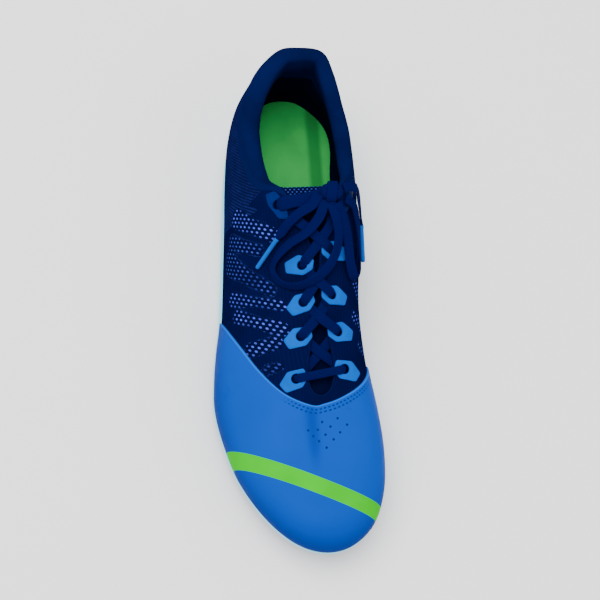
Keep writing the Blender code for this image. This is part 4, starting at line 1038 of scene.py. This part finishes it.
def upper_object(mesh_cloth, collar_cloth, lining_cloth):
    """The upper as one wall: outer face, rounded rim, padded collar and lining."""
    k = np.arange(AROUND * COLUMNS) / COLUMNS
    kk, vv = np.meshgrid(k, np.linspace(0.0, 1.0, OUTER_LEVELS), indexing="ij")
    _, normals, ups = wall_frames(kk, vv)
    outer = lifted(kk, vv, 0.0)
    outer = outer - normals * crease(outer)[..., None]
    climb = arc_lengths(outer, 1)
    run = arc_lengths(np.concatenate((outer, outer[:1]), 0), 0)[:-1].mean(axis=1, keepdims=True)
    thick = visual_wall(k, 1.0)[:, None, None]
    edge, out, up = outer[:, -1:, :], normals[:, -1:, :], ups[:, -1:, :]
    turn = np.linspace(0.0, math.pi, RIM_LEVELS + 2)[1:-1][None, :, None]
    rim = edge - out * thick * 0.5 + out * thick * 0.5 * np.cos(turn) + up * thick * RIM_ROUND * np.sin(turn)
    ki, vi = np.meshgrid(k, np.linspace(1.0, 0.0, INNER_LEVELS), indexing="ij")
    points = np.concatenate((outer, rim, lifted(ki, vi, -visual_wall(ki, vi))), 1)
    columns = points.shape[1]
    faces = grid_faces(len(k), columns, closed_rows=True)
    first = np.array([f[0] for f in faces])
    level, at_collar = first % columns, row_of(first // columns / COLUMNS) > COLLAR_START
    outside = level < OUTER_LEVELS - 1
    picks = np.where(outside, 0, 2)
    picks = np.where(~outside & (level < OUTER_LEVELS + RIM_LEVELS + COLLAR_TURN_IN) & at_collar, 1, picks)
    picks = np.where((level < OUTER_LEVELS + RIM_LEVELS - 1) & ~at_collar, 0, picks)
    extra = columns - OUTER_LEVELS
    zones = (extend(zone, extra) for zone in upper_zones(kk, outer, climb))
    uvs = extend(np.stack((np.broadcast_to(run, climb.shape), climb), -1), extra)
    attributes = dict(zip(("glow", "film", "rim"), zones))
    item = mesh_object("upper_shell", points, faces, [mesh_cloth, collar_cloth, lining_cloth],
                       "upper", uvs, attributes, picks)
    punch_eyelets(item)


def punch_eyelets(item):
    """Cut the ten lace holes through the upper."""
    bm = bmesh.new()
    for row in EYELETS:
        for side, _ in SIDES:
            x, y = eyelet_place(row, side)
            turn = Vector((0.0, 0.0, 1.0)).rotation_difference(top_normal(x, y)).to_matrix().to_4x4()
            place = Matrix.Translation(on_top(x, y, 0.0)) @ turn
            bmesh.ops.create_cone(bm, cap_ends=True, segments=28, radius1=EYELET_RADIUS,
                                  radius2=EYELET_RADIUS, depth=EYELET_CUT, matrix=place)
    mesh = bpy.data.meshes.new("eyelet_cutters")
    bm.to_mesh(mesh)
    bm.free()
    cutter = bpy.data.objects.new("eyelet_cutters", mesh)
    bpy.context.scene.collection.objects.link(cutter)
    cut = item.modifiers.new("eyelets", "BOOLEAN")
    cut.operation, cut.solver, cut.object = "DIFFERENCE", "EXACT", cutter
    with bpy.context.temp_override(object=item, active_object=item, selected_objects=[item]):
        bpy.ops.object.modifier_apply(modifier=cut.name)
    bpy.data.objects.remove(cutter)
    bpy.data.meshes.remove(mesh)


def overlay_object(material):
    """Toe overlay: from the sole's edge to its leaning rear edge, with a rounded rim."""
    k = np.linspace(*OVERLAY_REACH, OVERLAY_COLUMNS)
    low, high = np.zeros_like(k), np.ones_like(k)
    for _ in range(40):
        middle = (low + high) / 2
        ahead = before_edge(wall_points(k, middle)) > 0
        low, high = np.where(ahead, middle, low), np.where(ahead, high, middle)
    kept = np.flatnonzero(low > 0.004)
    k, top = k[kept[0]:kept[-1] + 1], low[kept[0]:kept[-1] + 1]
    kk, tt = np.meshgrid(k, np.linspace(0.0, 1.0, OVERLAY_LEVELS), indexing="ij")
    vv = tt * top[:, None]
    _, normals, _ = wall_frames(kk, vv)
    body = lifted(kk, vv, GAP + OVERLAY_THICK)
    body = body - normals * crease(body)[..., None]
    forward = unit(body[:, -1] - body[:, -2])
    sunk = normals[:, -1] * crease(body[:, -1])[:, None]
    rim = [lifted(k, top, (GAP + OVERLAY_THICK) * share) - sunk + forward * grow
           for share, grow in OVERLAY_RIM]
    points = np.concatenate((body, np.stack(rim, 1)), 1)
    climb = arc_lengths(body, 1)
    along = np.broadcast_to(arc_lengths(body[:, -1:, :], 0), kk.shape)
    x = np.broadcast_to(body[:, -1:, 0], kk.shape)
    extra = len(OVERLAY_RIM)
    attributes = {
        "edge": extend(climb[:, -1:] - climb, extra, 0.0),
        # fold and height carry the overlay's painted shade along its crease and low down
        "fold": extend(crease_share(body), extra, 0.0),
        "along": extend(along, extra),
        "height": extend(body[..., 2] - seat_height(body[..., 1]), extra, 0.05),
        "stitched": extend(smooth((x + 0.012) / 0.010) * smooth((0.040 - x) / 0.010), extra, 0.0),
    }
    faces = grid_faces(len(k), points.shape[1])
    mesh_object("toe_film", points, faces, [material], "toe_overlay", None, attributes)


def rounded_outline(corners, count=72, radius=0.0011):
    """Return count points round a polygon whose corners are rounded."""
    corners = np.array(corners)
    t = np.linspace(0.0, 1.0, 6)[:, None]
    points = []
    for before, here, after in zip(np.roll(corners, 1, 0), corners, np.roll(corners, -1, 0)):
        a = here + unit(before - here) * radius
        b = here + unit(after - here) * radius
        points.extend(a * (1 - t) ** 2 + here * 2 * t * (1 - t) + b * t ** 2)
    points = np.array(points + [points[0]])
    run = arc_lengths(points)
    return read_rows(np.linspace(0.0, run[-1], count, endpoint=False), run, points)


def film_piece(name, x, y, corners, thick, material, node=None):
    """A thin film with a rounded rim and a hole at x and y."""
    outline = rounded_outline(corners)
    direction = np.arctan2(outline[:, 1] - y, outline[:, 0] - x)
    hole = np.array((x, y)) + PATCH_HOLE_RADIUS * np.stack((np.cos(direction), np.sin(direction)), -1)
    points = [on_top(px, py, (GAP + thick) * height) for share, height in FILM_LEVELS
              for px, py in hole + (outline - hole) * share]
    faces = grid_faces(len(FILM_LEVELS), len(outline), closed_columns=True)
    mesh_object(name, points, faces, [material], node)


def film_objects(patch_film, tab_film):
    """A fused patch round each of the eight lower eyelets, and a tab round each top eyelet in a darker blue
    that is painted shade.
    """
    angles, radii = np.transpose(PATCH_CORNERS)
    for row in EYELETS[:-1]:
        for side, word in SIDES:
            x, y = eyelet_place(row, side)
            turned = np.radians(angles + (row.lat_turn if side < 0 else row.med_turn))
            corners = np.stack((x - side * radii * np.cos(turned), y + radii * np.sin(turned)), -1)
            name = f"{word}_{row.name[-1]}"
            film_piece(f"patch_film_{name}", x, y, corners, PATCH_THICK, patch_film, f"patch_{name}")
    for side, word in SIDES:
        x, y = eyelet_place(EYELETS[-1], side)
        corners = [(x + side * a, y + b) for a, b in TAB_CORNERS]
        film_piece(f"stay_tab_{word}", x, y, corners, TAB_THICK, tab_film)


TONGUE_FROM, TONGUE_TO, TONGUE_MIDDLE = -0.2320 * LENGTH, 0.1960 * LENGTH, 0.095 * BALL_WIDTH


def tongue_object(material):
    """Tongue under the throat, close under the vamp in front, with soft edges."""
    rows, columns = 91, 27
    over, under, uvs = [], [], []
    for y in np.linspace(TONGUE_FROM, TONGUE_TO, rows):
        share = y / LENGTH
        half = BALL_WIDTH * (TONGUE_HALF + TONGUE_FLARE * smooth((share + 0.23) / 0.08)
                             + TONGUE_END_FLARE * smooth((share - 0.05) / 0.1))
        sunk = smooth((share + 0.205) / 0.045)
        drop = WALL + TONGUE_FRONT_GAP + (TONGUE_DROP - TONGUE_FRONT_GAP) * sunk
        for w in np.linspace(-1.0, 1.0, columns):
            x = TONGUE_MIDDLE + half * w
            slant = top_normal(x, y).z
            z = top_height(x, y) - drop / slant
            over.append((x, y, z))
            under.append((x, y, z - TONGUE_THICK * (1.0 - 0.55 * w ** 4) / slant))
            uvs.append((x, y))
    base = rows * columns
    faces = grid_faces(rows, columns)
    faces += [tuple(reversed(f)) for f in grid_faces(rows, columns, first=base)]
    cells = np.arange(base).reshape(rows, columns)
    border = [*cells[0], *cells[1:, -1], *cells[-1, -2::-1], *cells[-2:0:-1, 0]]
    faces += [(a, b, base + b, base + a) for a, b in zip(border, border[1:] + border[:1])]
    weld(mesh_object("tongue_pad", over + under, faces, [material], "tongue", uvs + uvs))


# ---- Sole ----

def layer_object(name, node, material, rows, levels, across=14):
    """A sole layer: side rings through levels of outward growth and height, closed above and below."""
    round_k = np.concatenate((rows, (AROUND - rows[::-1]) % AROUND))
    if rows[-1] == LAST_ROW:
        round_k = np.concatenate((rows, AROUND - rows[-2::-1]))
    if rows[0] == 0:
        round_k = round_k[:-1]
    points, count = [], len(round_k)
    for grow, height in levels:
        flat, _ = outline_points(round_k, grow)
        points.extend(np.concatenate((flat, height(flat[:, 1])[:, None]), -1))
    faces = [(a, d, c, b) for a, b, c, d in grid_faces(len(levels), count, closed_columns=True)]
    shares = np.linspace(0.0, 1.0, across + 1)[None, :, None]
    for grow, height in (levels[0], levels[-1]):
        faces += grid_faces(len(rows), across + 1, first=len(points))
        lateral, _ = outline_points(rows, grow)
        medial, _ = outline_points((AROUND - rows) % AROUND, grow)
        sheet = lateral[:, None, :] * (1 - shares) + medial[:, None, :] * shares
        points.extend(np.concatenate((sheet, height(sheet[..., 1])[..., None]), -1).reshape(-1, 3))
    weld(mesh_object(name, points, faces, [material], node), 2e-6)


def sole_objects(foam, plate, rubber, insole, steel):
    """Midsole, insole, spike plate, heel pad and the pins' finish."""
    full = np.linspace(0.0, LAST_ROW, 161)
    edge = SOLE_MARGIN - SOLE_BULGE
    bulge = [(edge, foam_bottom)]
    for share in (0.12, 0.3, 0.5, 0.7, 0.88):
        off = abs(2 * share - 1)
        grow = SOLE_MARGIN - SOLE_BULGE * off ** 2 + SOLE_BULGE * (1 - off) * 0.6
        bulge.append((grow, lambda y, s=share: foam_bottom(y) + (seat_height(y) - foam_bottom(y)) * s))
    bulge.append((SOLE_MARGIN - 0.0002, seat_height))
    layer_object("midsole_foam", "midsole", foam, full, bulge)
    inset = -(WALL + 2 * GAP)
    layer_object("insole_sheet", "insole", insole, full, (
        (inset, lambda y: seat_height(y) + GAP),
        (inset, lambda y: seat_height(y) + GAP + INSOLE_THICK * 0.85),
        (inset - 0.0004, lambda y: seat_height(y) + GAP + INSOLE_THICK),
    ))
    layer_object("plate_skin", "spike_plate", plate, np.linspace(0.0, PLATE_END_ROW, 101), (
        (edge - PLATE_INSET, lambda y: foam_bottom(y) - GAP - PLATE_THICK),
        (edge - PLATE_INSET * 0.6, lambda y: foam_bottom(y) - GAP - PLATE_THICK * 0.9),
        (edge, foam_bottom),
    ))
    rear = np.linspace(PAD_START_ROW, LAST_ROW, 61)
    layer_object("heel_rubber", "heel_outsole", rubber, rear, (
        (edge - PAD_INSET, pad_bottom),
        (edge, lambda y: pad_bottom(y) + PAD_THICK + GAP),
    ))
    for name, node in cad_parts.items():
        if name.startswith("pin_"):
            node.data.materials.clear()
            node.data.materials.append(steel)


# ---- Stage ----

FLOOR_HALF, FLOOR_DROP, FLOOR_COLOUR = 3.0, 0.0002, (0.88, 0.875, 0.87)
SKY_COLOUR, SKY_STRENGTH = (0.97, 0.98, 1.0, 1.0), 1.30
LIGHT_AIM = Vector((0.0, 0.0, 0.03))

# Area lights: name, place, watts and size
LIGHTS = (("key", (-0.28, 0.16, 1.25), 22.0, 0.80), ("fill", (0.80, -0.30, 0.90), 2.5, 0.80))


def add_stage():
    """Pale floor, soft studio light."""
    mesh = bpy.data.meshes.new("floor")
    corners = [(x * FLOOR_HALF, y * FLOOR_HALF, 0.0) for x, y in ((-1, -1), (1, -1), (1, 1), (-1, 1))]
    mesh.from_pydata(corners, [], [(0, 1, 2, 3)])
    mesh.materials.append(Shader("floor", FLOOR_COLOUR, 0.9, spec=0.1).material)
    floor = bpy.data.objects.new("floor", mesh)
    bpy.context.scene.collection.objects.link(floor)
    floor.location.z = -FLOOR_DROP
    world = bpy.data.worlds.new("world")
    bpy.context.scene.world = world
    world.use_nodes = True
    background = world.node_tree.nodes["Background"]
    background.inputs["Color"].default_value = SKY_COLOUR
    background.inputs["Strength"].default_value = SKY_STRENGTH
    for name, place, power, size in LIGHTS:
        data = bpy.data.lights.new(name, "AREA")
        data.energy = power
        data.size = size
        light = bpy.data.objects.new(name, data)
        bpy.context.scene.collection.objects.link(light)
        light.location = place
        light.rotation_mode = "QUATERNION"
        light.rotation_quaternion = (LIGHT_AIM - Vector(place)).to_track_quat("-Z", "Y")


def main():
    """Build the looks."""
    add_camera()
    lace = lace_shader()
    loose_lace(lace, plain_shader("aglet_plastic"))
    knot(lace)
    lacing(lace)
    upper_object(upper_shader(), plain_shader("collar_cloth"), plain_shader("lining_cloth"))
    overlay_object(overlay_shader())
    film_objects(plain_shader("patch_film"), plain_shader("tab_film"))
    tongue_object(tongue_shader())
    sole_objects(plain_shader("foam"), plain_shader("plate_plastic"), plain_shader("heel_rubber"),
                 insole_shader(), plain_shader("pin_steel"))
    add_stage()



main()
